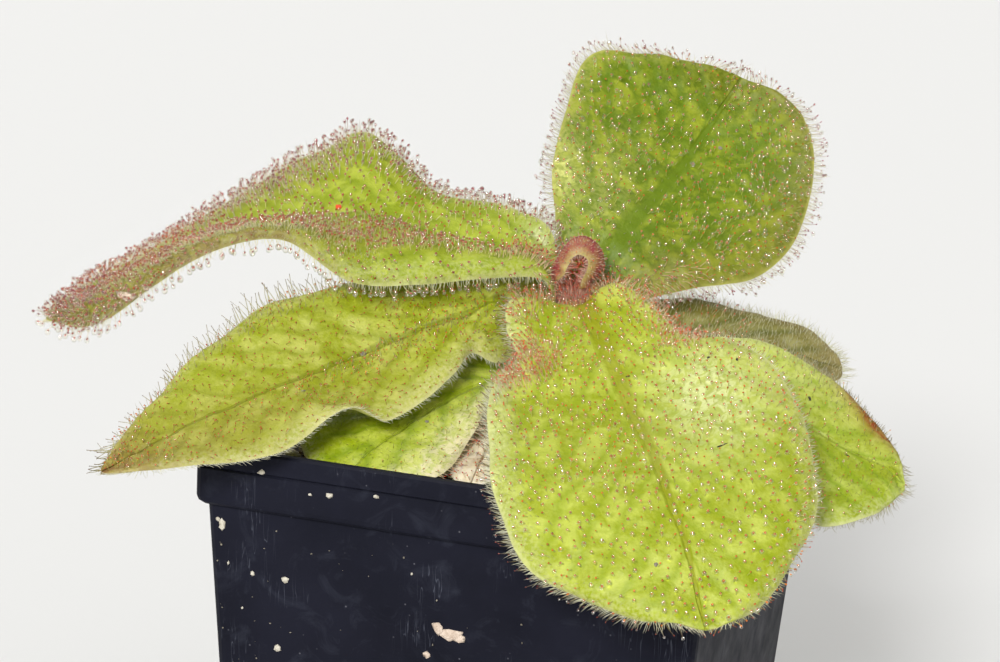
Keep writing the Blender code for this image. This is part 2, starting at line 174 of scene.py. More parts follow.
# Hairs: what each coat of hair on a leaf may say
hairDefaults = dict(
    where="face",  # face, under, or rim for the margins, with side -1, 1 or 0 for both
    side=0,
    thick=0.055,  # radius of the stalk
    gland=0.0,  # radius of the gland, none at 0
    flat=0.0,  # 1 lies on the blade
    curl=0.12,
    spread=0.35,
    dew=0.0,  # how many carry a drop
    drop=(0.2, 0.3),
    crowd=(),  # zones with closer hairs
    only=None,  # zones outside which there are none
    bare=(),  # zones without hairs
)


def onFace(look, spacing, length, **more):
    return {**hairDefaults, "look": look, "spacing": spacing, "length": length, **more}


def onRim(look, spacing, length, **more):
    return onFace(look, spacing, length, where="rim", **more)


def onBack(look, spacing, length, **more):
    return onFace(look, spacing, length, where="under", **more)


# Leaves: the same rails as the frame's leaves, each a right margin, a midrib and a left
# margin as seen from the stem looking out. Zones are (where along, where across from -1 at
# the right margin to 1 at the left, how far along, how far across, how strong).
leafDefaults = dict(puff=(0.8, 0.8), ribWidth=1.0, ribShow=0.7, crease=0.35, fineness=1.0, stain=(), pale=())
leafStyles = {
    "leaf_front": dict(
        foot=(285, 19.5),
        right=[(-4, -5, 22), (-5, -9, 18), (-3, -15, 14), (-7.3, -22, 10), (-7.1, -38, 5), (-5.4, -50, -1),
               (1, -61, -9), (14, -68, -12), (24, -71, -13)],
        rib=[(8, -3, 21), (11, -10, 18), (14, -18, 14), (17, -28, 9), (20, -40, 6), (22, -52, 3),
             (25, -62, -3), (27, -69, -10), (28, -72, -13)],
        left=[(15, -2, 25), (22, -9, 22), (27, -14, 19), (33, -16, 20), (41, -25, 17), (46, -38, 9),
              (46, -51, -1), (37, -65, -11), (31, -71, -13)],
        puff=(1.2, 1.8), slot="leaf_green", grid=(124, 80), ruffle=(0.45, 10), paint="fresh",
        ribWidth=2.1, crease=0.08,
        stain=[(0.06, 0.0, 0.07, 0.5, 0.5)], pale=[(0.5, 0.56, 0.13, 0.33, 1.0), (0.4, -1.0, 0.3, 0.12, 0.8)],
        coats=[
            onFace("orange", 1.4, (0.7, 1.3), gland=0.2, dew=0.7, drop=(0.28, 0.46),
                   crowd=[(0.3, -0.7, 0.12, 0.4, 0.6), (0.3, 0.7, 0.12, 0.4, 0.6),
                          (0.14, 0.0, 0.12, 1.5, 0.6), (0.5, 0.9, 0.3, 0.3, 0.3)]),
            onFace("pink", 0.55, (1.6, 2.6), gland=0.16, dew=0.5, drop=(0.22, 0.34),
                   only=[(0.37, -1.0, 0.05, 0.17, 1.0), (0.33, -0.85, 0.05, 0.2, 0.9)]),
            onFace("pink", 0.7, (1.3, 2.2), gland=0.18, dew=0.6, drop=(0.24, 0.36),
                   only=[(0.31, 0.88, 0.07, 0.22, 1.0)]),
            onFace("pink", 0.55, (1.6, 3.0), gland=0.14, dew=0.3,
                   only=[(0.03, 0.0, 0.03, 0.9, 1.0), (0.1, 0.9, 0.09, 0.25, 0.9),
                         (0.1, -0.9, 0.09, 0.25, 0.9)]),
            onFace("grey", 0.95, (0.5, 1.0), thick=0.035,
                   only=[(0.6, 1.0, 0.6, 0.14, 1.0), (0.6, -1.0, 0.6, 0.14, 1.0),
                         (1.0, 0.0, 0.06, 1.0, 1.0)]),
            onRim("dark", 0.95, (1.5, 2.3), side=-1, gland=0.12, dew=0.3),
            onFace("pale", 0.5, (1.4, 2.6), only=[(0.41, -1.0, 0.05, 0.07, 1.0)]),
            onRim("pale", 0.24, (1.0, 2.0), side=-1),
            onRim("pale", 0.4, (0.6, 1.4), side=1),
            onRim("rust", 1.4, (0.8, 1.4), side=1, gland=0.12),
        ],
    ),
    "leaf_left": dict(
        foot=(172, 19.5),
        right=[(2, 9, 32.4), (-8, 17.5, 35), (-19, 20, 36), (-32, 23, 46), (-42, 22, 42), (-56, 17, 34),
               (-71, 11, 24), (-81, 9, 18), (-87, 7, 14)],
        rib=[(0, 5, 28), (-9, 4, 30), (-21, 4, 32), (-33, 5, 34), (-44, 4, 33), (-56, 3, 30),
             (-69, 3, 24), (-80, 3, 18), (-89, 5, 12)],
        left=[(1.3, -1.8, 25.4), (-8, -5, 26), (-21, -9, 25), (-33, -10, 25.2), (-45, -6, 31),
              (-57, -6, 28.6), (-68, -5, 21.3), (-77, -3, 14), (-87, 3, 10)],
        puff=(0.4, 2.0), slot="leaf_lime", grid=(130, 76), ruffle=(0.3, 9), paint="lime", ribWidth=1.2,
        stain=[(1.0, 0.0, 0.12, 2.0, 0.85), (0.62, 0.3, 0.35, 0.3, 0.45), (0.8, -0.9, 0.3, 0.45, 0.6),
               (0.63, 0.95, 0.16, 0.35, 0.8), (0.82, 0.9, 0.1, 0.5, 0.35)],
        pale=[(0.12, -0.5, 0.04, 0.3, 0.9)],
        coats=[
            onFace("wine", 1.45, (1.0, 1.8), gland=0.21, dew=0.8, drop=(0.28, 0.4),
                   crowd=[(1.0, 0.0, 0.25, 2.0, 0.5)], bare=[(0.56, 1.0, 0.1, 0.2, 1.0)]),
            onFace("wine", 0.85, (0.9, 1.7), gland=0.2, dew=0.8, drop=(0.28, 0.4),
                   only=[(0.83, 0.85, 0.13, 0.45, 1.0), (0.95, 0.5, 0.07, 0.8, 1.0)]),
            onFace("wine", 0.85, (1.4, 2.2), gland=0.22, dew=0.8, drop=(0.28, 0.4),
                   only=[(0.68, 0.34, 0.2, 0.26, 1.0), (0.9, 0.35, 0.14, 0.7, 1.0),
                         (0.48, 0.22, 0.14, 0.18, 1.0), (0.3, 0.4, 0.14, 0.13, 0.8),
                         (0.85, -0.2, 0.14, 0.6, 0.8)]),
            onFace("plum", 0.9, (1.4, 2.4), gland=0.21, dew=0.9, drop=(0.32, 0.46),
                   only=[(0.7, -1.0, 0.3, 0.4, 1.0), (0.3, -1.0, 0.25, 0.14, 0.9),
                         (0.93, 0.0, 0.08, 2.0, 0.6)]),
            onRim("plum", 0.5, (1.5, 2.5), side=-1, gland=0.21, dew=0.95, drop=(0.32, 0.46), spread=0.9),
            onRim("wine", 0.95, (1.3, 2.3), side=1, gland=0.21, dew=0.95, drop=(0.4, 0.6), thick=0.05),
            onRim("pale", 0.4, (0.8, 1.8)),
            onRim("grey", 0.5, (1.4, 2.6), side=-1),
            onFace("pale", 0.5, (0.6, 1.2), thick=0.04, only=[(0.64, 0.85, 0.2, 0.3, 1.0)]),
            onFace("wine", 1.4, (0.8, 1.5), gland=0.17, dew=0.5, drop=(0.22, 0.34),
                   only=[(0.58, 0.85, 0.16, 0.3, 1.0)]),
            onFace("pink", 0.8, (1.8, 3.0), gland=0.15, dew=0.3,
                   only=[(0.03, 0.0, 0.06, 1.6, 1.0), (0.12, 0.45, 0.06, 0.4, 0.8)]),
            onFace("pale", 0.6, (1.0, 2.0), only=[(0.97, 0.0, 0.05, 2.0, 1.0)]),
        ],
    ),
    "leaf_lower_left": dict(
        foot=(200, 15.5),
        right=[(-0.4, 4.4, 24.6), (-11.6, 4.4, 24.4), (-23, 4, 23.2), (-37, 0, 22), (-47, -4, 19),
               (-54, -9, 15), (-59, -15, 11), (-66, -26, 4), (-71, -40, -1)],
        rib=[(-6.5, -2, 21.2), (-11.7, -5, 19.6), (-19, -8, 17.4), (-29, -12, 13.4), (-37, -18, 11),
             (-46, -24, 8), (-55, -30, 5), (-64, -36, 1), (-71, -42, -2)],
        left=[(-5.5, -10, 12), (-11, -12.5, 14), (-14, -19, 11.6), (-19, -25, 8), (-25, -30, 6),
              (-32, -33, 8), (-42, -39, 2), (-56, -42, 0), (-69, -43, -2)],
        puff=(1.2, 0.8), slot="leaf_green", grid=(124, 76), ruffle=(0.4, 10), paint="older",
        stain=[(1.0, 0.0, 0.12, 2.0, 0.8), (0.8, 0.4, 0.25, 0.6, 0.3)], pale=[(0.45, 0.95, 0.5, 0.25, 0.35)],
        coats=[
            onFace("rust", 1.3, (0.5, 1.0), thick=0.045, gland=0.13, flat=0.55),
            onFace("orange", 1.15, (1.0, 1.7), gland=0.17, dew=0.4, drop=(0.22, 0.32), thick=0.045,
                   only=[(0.2, -0.3, 0.14, 0.8, 1.0), (0.3, -1.0, 0.25, 0.25, 0.8),
                         (0.97, 0.0, 0.08, 1.5, 0.8), (0.5, 0.2, 0.3, 0.2, 0.25)]),
            onFace("grey", 1.1, (1.3, 2.2),
                   only=[(0.5, -1.0, 0.5, 0.22, 1.0), (0.12, 0.2, 0.06, 1.0, 1.0),
                         (0.35, 0.1, 0.2, 0.15, 0.5)]),
            onRim("grey", 0.45, (2.4, 3.6), side=-1, gland=0.08, thick=0.07, spread=0.5, curl=0.06),
            onRim("pale", 0.36, (0.9, 1.7), side=1),
        ],
    ),
    "leaf_under_left": dict(
        foot=(236, 7.5),
        right=[(-9.5, -1.5, 12.2), (-21, -7, 9.4), (-32, -16, 5), (-39, -24, 1), (-38, -31, -2)],
        rib=[(-1, -7, 9), (-11, -14, 8), (-20, -22, 4), (-27, -29, 0), (-32, -34, -4)],
        left=[(2, -10, 10), (-7, -19, 7), (-10, -26, 3), (-15, -34, -2), (-25, -36, -4)],
        # its paint is lightened to make up for the shade the leaf above casts on it: partly painted light
        puff=(0.6, 0.6), slot="leaf_lime", grid=(84, 60), ruffle=(0.4, 8), paint="bright",
        ribWidth=0.8, ribShow=0.3, pale=[(0.7, 1.0, 0.5, 0.5, 1.0)],
        coats=[
            onFace("dark", 1.0, (0.4, 0.8), thick=0.035, flat=0.6),
            onFace("orange", 1.6, (0.6, 1.2), gland=0.13, only=[(0.5, 0.9, 0.5, 0.5, 1.0)]),
            onRim("dark", 0.5, (0.7, 1.6)),
            onRim("pink", 0.6, (0.9, 1.8), side=1, gland=0.11),
        ],
    ),
    "leaf_upper_right": dict(
        foot=(60, 18.5),
        right=[(19, 5.5, 20.8), (29, 8, 23.2), (40, 13, 24.6), (48, 22, 30), (52, 34, 41), (50, 45, 50),
               (43.5, 51, 54.3)],
        rib=[(13, 9, 28), (17, 15, 33), (21, 23, 36), (26, 32, 40), (31, 42, 45.5), (35.4, 49, 51.4),
             (38.6, 53, 55.8)],
        left=[(3.4, 10, 30), (2.4, 16, 35.6), (2, 24, 42), (4, 34, 50), (8, 46, 59), (20, 50, 60),
              (34, 53, 57.6)],
        puff=(1.2, 1.2), slot="leaf_lime", grid=(124, 84), ruffle=(0.5, 10), paint="deep",
        ribWidth=2.3, ribShow=1.0, crease=0.05,
        stain=[(0.95, 0.0, 0.12, 2.0, 0.35), (0.6, -1.0, 0.4, 0.3, 0.45), (0.2, -0.7, 0.14, 0.4, 0.35)],
        pale=[(0.4, 0.92, 0.1, 0.16, 0.9), (0.2, -1.0, 0.08, 0.2, 0.8), (0.32, 0.45, 0.25, 0.3, 0.35)],
        coats=[
            onFace("amber", 1.6, (0.8, 1.5), gland=0.19, dew=0.7, drop=(0.28, 0.5),
                   crowd=[(0.6, -0.8, 0.3, 0.4, 0.5), (0.97, 0.0, 0.1, 1.5, 0.5), (0.5, 0.9, 0.5, 0.2, 0.4)],
                   bare=[(0.15, 0.0, 0.3, 0.12, 1.0), (0.5, 0.0, 0.25, 0.06, 1.0)]),
            onFace("amber", 2.4, (0.5, 1.0), gland=0.14, dew=1.0, drop=(0.42, 0.62),
                   only=[(0.55, -0.85, 0.3, 0.3, 1.0), (0.35, 0.6, 0.2, 0.4, 0.8)]),
            onFace("grey", 1.9, (0.6, 1.2), thick=0.035, only=[(0.6, -0.5, 0.4, 0.6, 1.0)]),
            onFace("pink", 0.7, (1.4, 2.6), gland=0.12, dew=0.3,
                   only=[(0.06, 0.0, 0.05, 1.6, 1.0), (0.2, -1.0, 0.1, 0.2, 1.0)]),
            onFace("pale", 0.9, (0.8, 1.6), only=[(0.12, -1.0, 0.1, 0.2, 1.0), (0.1, 0.9, 0.06, 0.3, 1.0)]),
            onRim("plum", 0.55, (1.5, 2.7), gland=0.15, dew=0.6, drop=(0.26, 0.44)),
            onRim("pale", 0.3, (1.6, 3.0)),
        ],
    ),
    "leaf_right_back": dict(
        foot=(18, 13.5),
        right=[(19, 1, 13), (30, -1, 11), (41, -1, 9), (50, 0, 8), (56, 3, 8)],
        rib=[(20, 7, 16), (30, 8, 15), (41, 9, 13), (50, 9, 11), (57, 7, 9)],
        left=[(19, 12, 19), (30, 17, 19), (41, 21, 16), (51, 19, 14), (57, 11, 11)],
        # its paint is darkened for the shade it lies in behind the front leaves: partly painted shade
        puff=(0.6, 0.6), slot="leaf_olive", grid=(84, 60), ruffle=(0.3, 8), paint="shade",
        stain=[(1.0, 0.0, 0.2, 2.0, 0.4), (0.5, 1.0, 0.5, 0.2, 0.5)],
        coats=[
            onFace("pale", 0.75, (0.6, 1.3), flat=0.2, thick=0.045),
            onFace("pink", 1.3, (1.0, 1.8), gland=0.14, dew=0.3, drop=(0.2, 0.28),
                   only=[(0.1, 0.0, 0.35, 2.0, 1.0)]),
            onRim("pale", 0.28, (1.6, 3.0)),
            onRim("pale", 0.3, (1.2, 2.4), side=1, spread=1.2),
        ],
    ),
    "leaf_right": dict(
        foot=(335, 8.5),
        right=[(18, -7, 9), (27, -17, 6), (35, -27, 3), (42, -35, -2), (49, -39, -6), (58, -34, -5),
               (64, -26, -4)],
        rib=[(19, -3, 10), (29, -7, 10), (39, -11, 8), (46, -15, 6), (55, -19, 2), (61, -22, 0),
             (65, -24, -3)],
        left=[(20, 0, 12), (29, -1, 15), (40, 1, 16), (49, -2, 13), (56, -7, 9), (62, -14, 3),
              (65, -21, -1)],
        slot="leaf_green", grid=(104, 68), ruffle=(0.4, 9), paint="edged", ribShow=0.25,
        stain=[(0.8, 1.0, 0.09, 0.34, 2.2), (0.81, 0.9, 0.14, 0.6, 0.3)], pale=[(0.6, 0.7, 0.2, 0.5, 0.4)],
        coats=[
            onFace("dark", 1.0, (0.4, 0.8), thick=0.035, flat=0.5),
            onFace("orange", 2.0, (0.7, 1.3), gland=0.13, dew=0.4, crowd=[(0.5, 0.4, 0.15, 0.6, 0.5)]),
            onFace("grey", 0.8, (0.7, 1.4), thick=0.04, only=[(0.7, 0.9, 0.25, 0.3, 1.0)]),
            onFace("dark", 0.5, (0.6, 1.2), only=[(0.81, 1.0, 0.08, 0.25, 1.0)]),
            onRim("grey", 0.28, (1.2, 2.3)),
        ],
    ),
    "leaf_back": dict(
        foot=(118, 9.0),
        right=[(8, 18, 12), (10, 32, 13), (5, 46, 10), (-5, 58, 4), (-18, 66, -3)],
        rib=[(1, 15, 13), (-6, 30, 14), (-13, 45, 11), (-19, 57, 5), (-24, 66, -3)],
        left=[(-8, 15, 13), (-22, 24, 12), (-32, 37, 9), (-34, 51, 5), (-29, 63, -1)],
        slot="leaf_green", grid=(100, 64), ruffle=(0.4, 9), paint="fresh", ribWidth=1.4,
        stain=[(1.0, 0.0, 0.08, 2.0, 0.5)],
        coats=[
            onFace("orange", 2.1, (0.9, 1.6), gland=0.16, dew=0.6, drop=(0.24, 0.36)),
            onRim("grey", 0.5, (1.2, 2.4)),
        ],
    ),
    "leaf_dry": dict(
        foot=(262, 4.5),
        right=[(-1, -6, 5), (-9, -15, 4), (-12, -24, 1), (-14, -33, -3)],
        rib=[(4, -5, 5), (-3, -15, 4), (-7, -25, 1), (-10, -35, -3)],
        left=[(7, -7, 5), (3, -16, 3), (-2, -26, 1), (-6, -35, -3)],
        # its paint is lightened for the shade it lies in low in the pot: partly painted light
        puff=(0.0, 0.0), slot="leaf_dry", grid=(64, 44), ruffle=(0.5, 5), paint="dry", ribWidth=0.7,
        stain=[(0.3, 0.0, 0.3, 1.0, 0.4)],
        coats=[
            onFace("pink", 1.1, (0.6, 1.2), gland=0.14, flat=0.4),
            onRim("grey", 0.6, (0.7, 1.6)),
        ],
    ),
    "leaf_new": dict(
        foot=None,
        right=[(7.4, -1.6, 24), (8.7, -2.4, 27.8), (8.7, -2.4, 29.6), (7.4, -2.4, 30.5), (6, -2.4, 29.9),
               (5.1, -2.2, 28), (4.8, -1.8, 26)],
        rib=[(8.8, 1, 24.3), (10.8, 0.9, 27.6), (10.3, 0.7, 31), (7.7, 0.5, 32.7), (5, 0.4, 31.3),
             (3.5, 0.4, 28), (3.3, 0.4, 24.8)],
        left=[(7.4, 3.6, 25), (8.7, 3.8, 28), (8.7, 3.8, 29.6), (7.4, 3.6, 30.4), (6, 3.4, 29.8),
              (5.1, 3.2, 28), (4.8, 2.8, 26)],
        puff=(0.0, 0.0), slot="leaf_red", grid=(84, 44), ruffle=(0.1, 4), paint="young", ribWidth=0.3,
        stain=[(0.5, 0.0, 3.0, 0.6, 3.0)], fineness=3.5,
        coats=[
            onFace("rose", 0.5, (1.1, 2.4), gland=0.13, curl=0.3),
            onBack("pale", 0.5, (0.3, 0.8), thick=0.035),
            onBack("rose", 1.1, (0.5, 0.9), thick=0.045, gland=0.1),
            onRim("rose", 0.4, (0.5, 1.3)),
        ],
    ),
}
blade = dict(thickness=0.72, tipFrom=0.93, veinGap=9.0, veinLean=1.5, veinDepth=0.2, lump=0.2,
             edgeTaper=1.3, keel=0.7, footTaper=0.01)


def railsOf(style):
    rails = [np.array(style[side], float) for side in ("right", "rib", "left")]
    if style["foot"]:
        direction, height = style["foot"]
        reach = stemRadius + footGap
        for i, turn in enumerate((-footSpread, 0.0, footSpread)):
            angle = math.radians(direction) + turn
            foot = (stemPlace[0] + reach * math.cos(angle), stemPlace[1] + reach * math.sin(angle), height)
            rails[i] = np.vstack([foot, rails[i]])
    return rails


def alongRail(rail, share):
    place = np.clip(share, 0, 1) * (len(rail) - 1)
    i = np.minimum(place.astype(int), len(rail) - 2)
    t = (place - i)[:, None]
    longer = np.vstack([rail[0] * 2 - rail[1], rail, rail[-1] * 2 - rail[-2]])
    a, b, c, d = (longer[i + k] for k in range(4))
    return 0.5 * (b * 2 + (c - a) * t + (a * 2 - b * 5 + c * 4 - d) * t**2 + (b * 3 - a - c * 3 + d) * t**3)


def sheetPoint(leaf, share, side):
    # the blade's middle surface, smooth, before its veins and lumps
    right, rib, left = (alongRail(rail, share) for rail in leaf["rails"])
    across = side[:, None]
    point = rib + (left - right) * across / 2 + ((left + right) / 2 - rib) * across**2
    ahead = alongRail(leaf["rails"][1], share + 0.02) - alongRail(leaf["rails"][1], share - 0.02)
    up = unit(np.cross(ahead, left - right))
    width = np.linalg.norm(left - right, axis=1)
    swell = 4 * side**2 * (1 - side**2) * np.minimum(1, width / 20)
    return point + up * (np.where(side > 0, leaf["puff"][1], leaf["puff"][0]) * swell)[:, None]


def sheetAxes(leaf, share, side):
    # unit vectors along the blade, across it to its left, and up from it
    inner = side * 0.98
    low, high = np.clip(share - 0.008, 0, 1), np.clip(share + 0.008, 0, 1)
    along = unit(sheetPoint(leaf, high, inner) - sheetPoint(leaf, low, inner))
    across = unit(sheetPoint(leaf, share, inner + 0.02) - sheetPoint(leaf, share, inner - 0.02))
    return along, across, unit(np.cross(along, across))


def ripples(points, size, seed, count=9):
    # smooth lumps about size millimetres across, mostly between -1 and 1
    rng = np.random.default_rng(seed)
    total = np.zeros(len(points))
    for direction in unit(rng.normal(size=(count, 3))):
        steep = math.tau / size * rng.uniform(0.6, 1.5)
        total += np.sin(points @ direction * steep + rng.uniform(0, math.tau))
    return total / math.sqrt(count)


def measureLeaf(leaf):
    # how far along the midrib, and how wide each half is, at 200 shares of the length
    share = np.linspace(0, 1, 200)
    right, rib, left = (alongRail(rail, share) for rail in leaf["rails"])
    steps = np.linalg.norm(np.diff(rib, axis=0), axis=1)
    leaf["shares"] = share
    leaf["runs"] = np.concatenate([[0], np.cumsum(steps)])
    leaf["halves"] = (np.linalg.norm(right - rib, axis=1), np.linalg.norm(left - rib, axis=1))


def leafPlace(leaf, share, side):
    # millimetres along the midrib, and from it, with the margin's distance
    run = np.interp(share, leaf["shares"], leaf["runs"])
    half = np.where(side < 0, *[np.interp(share, leaf["shares"], h) for h in leaf["halves"]])
    return run, side * half, (1 - np.abs(side)) * half


def narrowTip(share):
    end = np.clip((share - blade["tipFrom"]) / (1 - blade["tipFrom"]), 0, 1)
    return np.sqrt(np.maximum(0, 1 - end**2))


def leafVeins(leaf, share, side, points):
    # which lateral vein, how many midrib widths off the midrib, and how far in from the margin
    run, out, edge = leafPlace(leaf, share, side)
    ribHalf = leaf["ribWidth"] * (1.08 - run / leaf["runs"][-1])
    phase = (run - np.abs(out) * blade["veinLean"]) / blade["veinGap"] + np.where(side < 0, 0.45, 0.0)
    return phase + 0.12 * ripples(points, 18, 3), out / ribHalf, edge


def leafRelief(leaf, share, side, points):
    # the height of veins, lumps and wavy margins
    phase, ribs, edge = leafVeins(leaf, share, side, points)
    off = np.abs(phase - np.round(phase)) * blade["veinGap"]
    reach = np.clip(edge / 5, 0, 1) * np.clip(np.abs(ribs) - 0.5, 0, 1)
    height = -leaf["crease"] * np.exp(-(ribs**2))
    height -= blade["veinDepth"] * np.exp(-((off / 1.3) ** 2)) * reach
    height += blade["lump"] * ripples(points, 6.5, 5) * np.clip(edge / 3, 0, 1)
    height += 0.06 * ripples(points, 2.2, 7)
    amount, wave = leaf["ruffle"]
    return height + amount * np.exp(-edge / 3) * ripples(points, wave, 9)


def zoneShare(zones, share, side):
    total = np.zeros(len(share))
    for atShare, atSide, farShare, farSide, strength in zones:
        near = ((share - atShare) / farShare) ** 2 + ((side - atSide) / farSide) ** 2
        total += strength * np.exp(-near)
    return np.clip(total, 0, 1)


def makeBlade(name, leaf):
    # a grid rolled into a closed flat tube: one half is the upper face, the other the lower
    alongCount, aroundCount = leaf["grid"]
    deselect()
    bpy.ops.mesh.primitive_grid_add(x_subdivisions=alongCount, y_subdivisions=aroundCount, size=2)
    made = bpy.context.object
    made.name = name + "_blade"
    made.data.name = made.name
    flat = readPoints(made.data)
    even = (flat[:, 0] + 1) / 2
    share = 0.6 * even + 0.4 * np.sin(even * math.pi / 2)
    turn = flat[:, 1]
    side = 0.45 * -np.cos(math.pi * turn) + 0.55 * (2 * np.abs(turn) - 1)
    upper = turn > 0
    tapered = side * narrowTip(share)
    middle = sheetPoint(leaf, share, tapered)
    up = sheetAxes(leaf, share, tapered)[2]
    height = leafRelief(leaf, share, tapered, middle)
    phase, ribs, _ = leafVeins(leaf, share, tapered, middle)
    edge = leafPlace(leaf, share, side)[2]
    thin = np.clip(edge / blade["edgeTaper"], 0, 1) ** 0.7 * narrowTip(share) ** 0.5
    thin = thin * np.sqrt(np.clip(even / blade["footTaper"], 0, 1))
    half = blade["thickness"] / 2 * thin
    keel = blade["keel"] * np.exp(-(ribs**2)) * (1 - even) * thin * bool(leaf["foot"])
    points = middle + up * np.where(upper, height + half, height - half - keel)[:, None]
    stain = zoneShare(leaf["stain"], share, side)
    if leaf["foot"]:
        stain = stain * np.where(upper, 1.0, 0.5)
    pale = np.maximum(zoneShare(leaf["pale"], share, side), np.where(upper, 0.0, 0.45))
    writePoints(made.data, toPot(points))
    layers = dict(veins=(phase, ribs, edge * leaf["fineness"]), zones=(stain, pale, upper * 1.0))
    for key, columns in layers.items():
        layer = made.data.attributes.new(key, "FLOAT_VECTOR", "POINT")
        layer.data.foreach_set("vector", np.stack(columns, 1).astype(np.float32).ravel())
    bpy.ops.object.mode_set(mode="EDIT")
    bpy.ops.mesh.select_all(action="SELECT")
    bpy.ops.mesh.remove_doubles(threshold=2e-6)
    bpy.ops.mesh.normals_make_consistent(inside=False)
    bpy.ops.object.mode_set(mode="OBJECT")
    bpy.ops.object.shade_smooth_by_angle(angle=0.6)
    return made


# Paints of the leaves, as sRGB, in the order of paintParts: vein is the lateral veins, rib
# the midrib, and dry the pale patches
paintParts = ("body", "light", "vein", "rib", "margin", "stain", "dry")
leafPaints = {
    "fresh": [(148, 160, 18), (180, 190, 74), (138, 156, 4), (138, 142, 2), (196, 198, 132), (150, 92, 40),
              (206, 212, 148)],
    "edged": [(146, 160, 24), (182, 194, 84), (130, 156, 4), (136, 146, 6), (200, 204, 146), (134, 66, 24),
              (200, 202, 130)],
    # lime: its stain is the leaf's own purple brown, darkened for the shade on its tip: partly painted shade
    "lime": [(138, 155, 16), (170, 182, 58), (130, 149, 10), (122, 142, 8), (186, 188, 124), (106, 60, 44),
             (206, 212, 160)],
    "older": [(150, 160, 28), (180, 184, 80), (136, 146, 16), (122, 132, 6), (200, 198, 140), (122, 84, 44),
              (194, 188, 122)],
    # the under-left leaf's yellow green, lightened to make up for the shade the leaf above casts on it:
    # partly painted light
    "bright": [(156, 172, 18), (190, 200, 76), (126, 150, 4), (126, 146, 4), (212, 208, 160), (140, 90, 60),
               (224, 214, 170)],
    "deep": [(92, 116, 0), (142, 154, 32), (92, 120, 0), (98, 122, 2), (160, 158, 78), (112, 92, 40),
             (206, 208, 120)],
    # shade: the leaf's own olive, darkened for the shade it lies in behind the front leaves: partly painted
    # shade
    "shade": [(122, 116, 50), (154, 150, 94), (90, 96, 26), (90, 94, 24), (158, 146, 104), (104, 68, 48),
              (120, 116, 76)],
    # dry: the dead leaf's pale whitish brown, lightened for the shade it lies in low in the pot: partly
    # painted light
    "dry": [(222, 206, 168), (244, 234, 208), (176, 150, 110), (176, 148, 106), (238, 230, 206),
            (160, 112, 80), (232, 220, 186)],
    "young": [(174, 174, 84), (192, 192, 108), (166, 148, 84), (142, 62, 64), (190, 184, 122), (142, 62, 64),
              (166, 112, 92)],
}


def leafMaterial(name, paint, ribShow):
    made, shader = startMaterial(name)
    coords = objectCoords()
    tone = {part: sRgb(*paint[i]) for i, part in enumerate(paintParts)}
    veins = addNode("ShaderNodeAttribute", attribute_name="veins").outputs["Vector"]
    phase, ribs, edge = addNode("ShaderNodeSeparateXYZ", {0: veins}).outputs
    zones = addNode("ShaderNodeAttribute", attribute_name="zones").outputs["Vector"]
    stain, dry, _ = addNode("ShaderNodeSeparateXYZ", {0: zones}).outputs
    # mottling, then veins and midrib
    colour = blend(remap(cloud(coords, 6, 5, 0.62, 0.8), 0.44, 0.6), tone["body"], tone["light"])
    colour = lay(colour, remap(cloud(coords, 1.2, 4, 0.65, 0.3), 0.45, 0.66), 0.4, tone["light"])
    wobble = times(sums("SUBTRACT", cloud(coords, 2.5, 3), 0.5), 0.5)
    off = sums("PINGPONG", sums("ADD", phase, wobble), 0.5)
    lateral = times(remap(off, 0.02, 0.26, 1.0, 0.0), remap(edge, 0.5, 5))
    colour = lay(colour, lateral, 0.75, tone["vein"])
    colour = lay(colour, remap(cloud(coords, 3.5, 5, 0.65, 1.0), 0.52, 0.7), 0.45, tone["vein"])
    midrib = remap(sums("ADD", sums("ABSOLUTE", ribs), wobble), 0.6, 1.25, 1.0, 0.0)
    colour = lay(colour, midrib, ribShow, tone["rib"])
    # frosted margins, dry and stained zones
    frost = times(remap(edge, 0.3, 5, 1.0, 0.0), remap(cloud(coords, 0.6, 3, 0.6), 0.4, 0.62))
    colour = lay(colour, frost, 0.7, tone["margin"])
    colour = blend(remap(edge, 0.1, 0.9, 0.7, 0.0), colour, tone["margin"])
    colour = lay(colour, dry, remap(cloud(coords, 1.9, 5, 0.68, 0.9), 0.45, 0.57, 0.3, 1.0), tone["dry"])
    colour = lay(colour, stain, remap(cloud(coords, 2.4, 5, 0.65, 0.8), 0.3, 0.6, 0.45, 1.0), tone["stain"])
    # pores and scattered brown dots
    colour = lay(colour, remap(cells(coords, 0.9), 0.08, 0.2, 1.0, 0.0), 0.25, tone["rib"])
    dots = times(remap(cells(coords, 1.7), 0.05, 0.11, 1.0, 0.0), remap(cloud(coords, 4, 2), 0.48, 0.56))
    colour = lay(colour, dots, 0.6, sRgb(96, 62, 26))
    relief = bump(cells(coords, 0.5), 0.07, 0.6)
    relief = bump(cloud(coords, 1.8, 4, 0.6), 0.35, 0.6, relief)
    fill(shader, {
        "Base Color": colour,
        "Roughness": remap(cloud(coords, 2.4, 3), 0.3, 0.7, 0.42, 0.62),
        "Normal": bump(times(midrib, -1), 0.3, 0.8, relief),
        "Subsurface Weight": 0.15,
        "Subsurface Radius": (0.9, 1.0, 0.2),
        "Subsurface Scale": 0.0012,
        "Specular IOR Level": 0.16,
    })
    return made


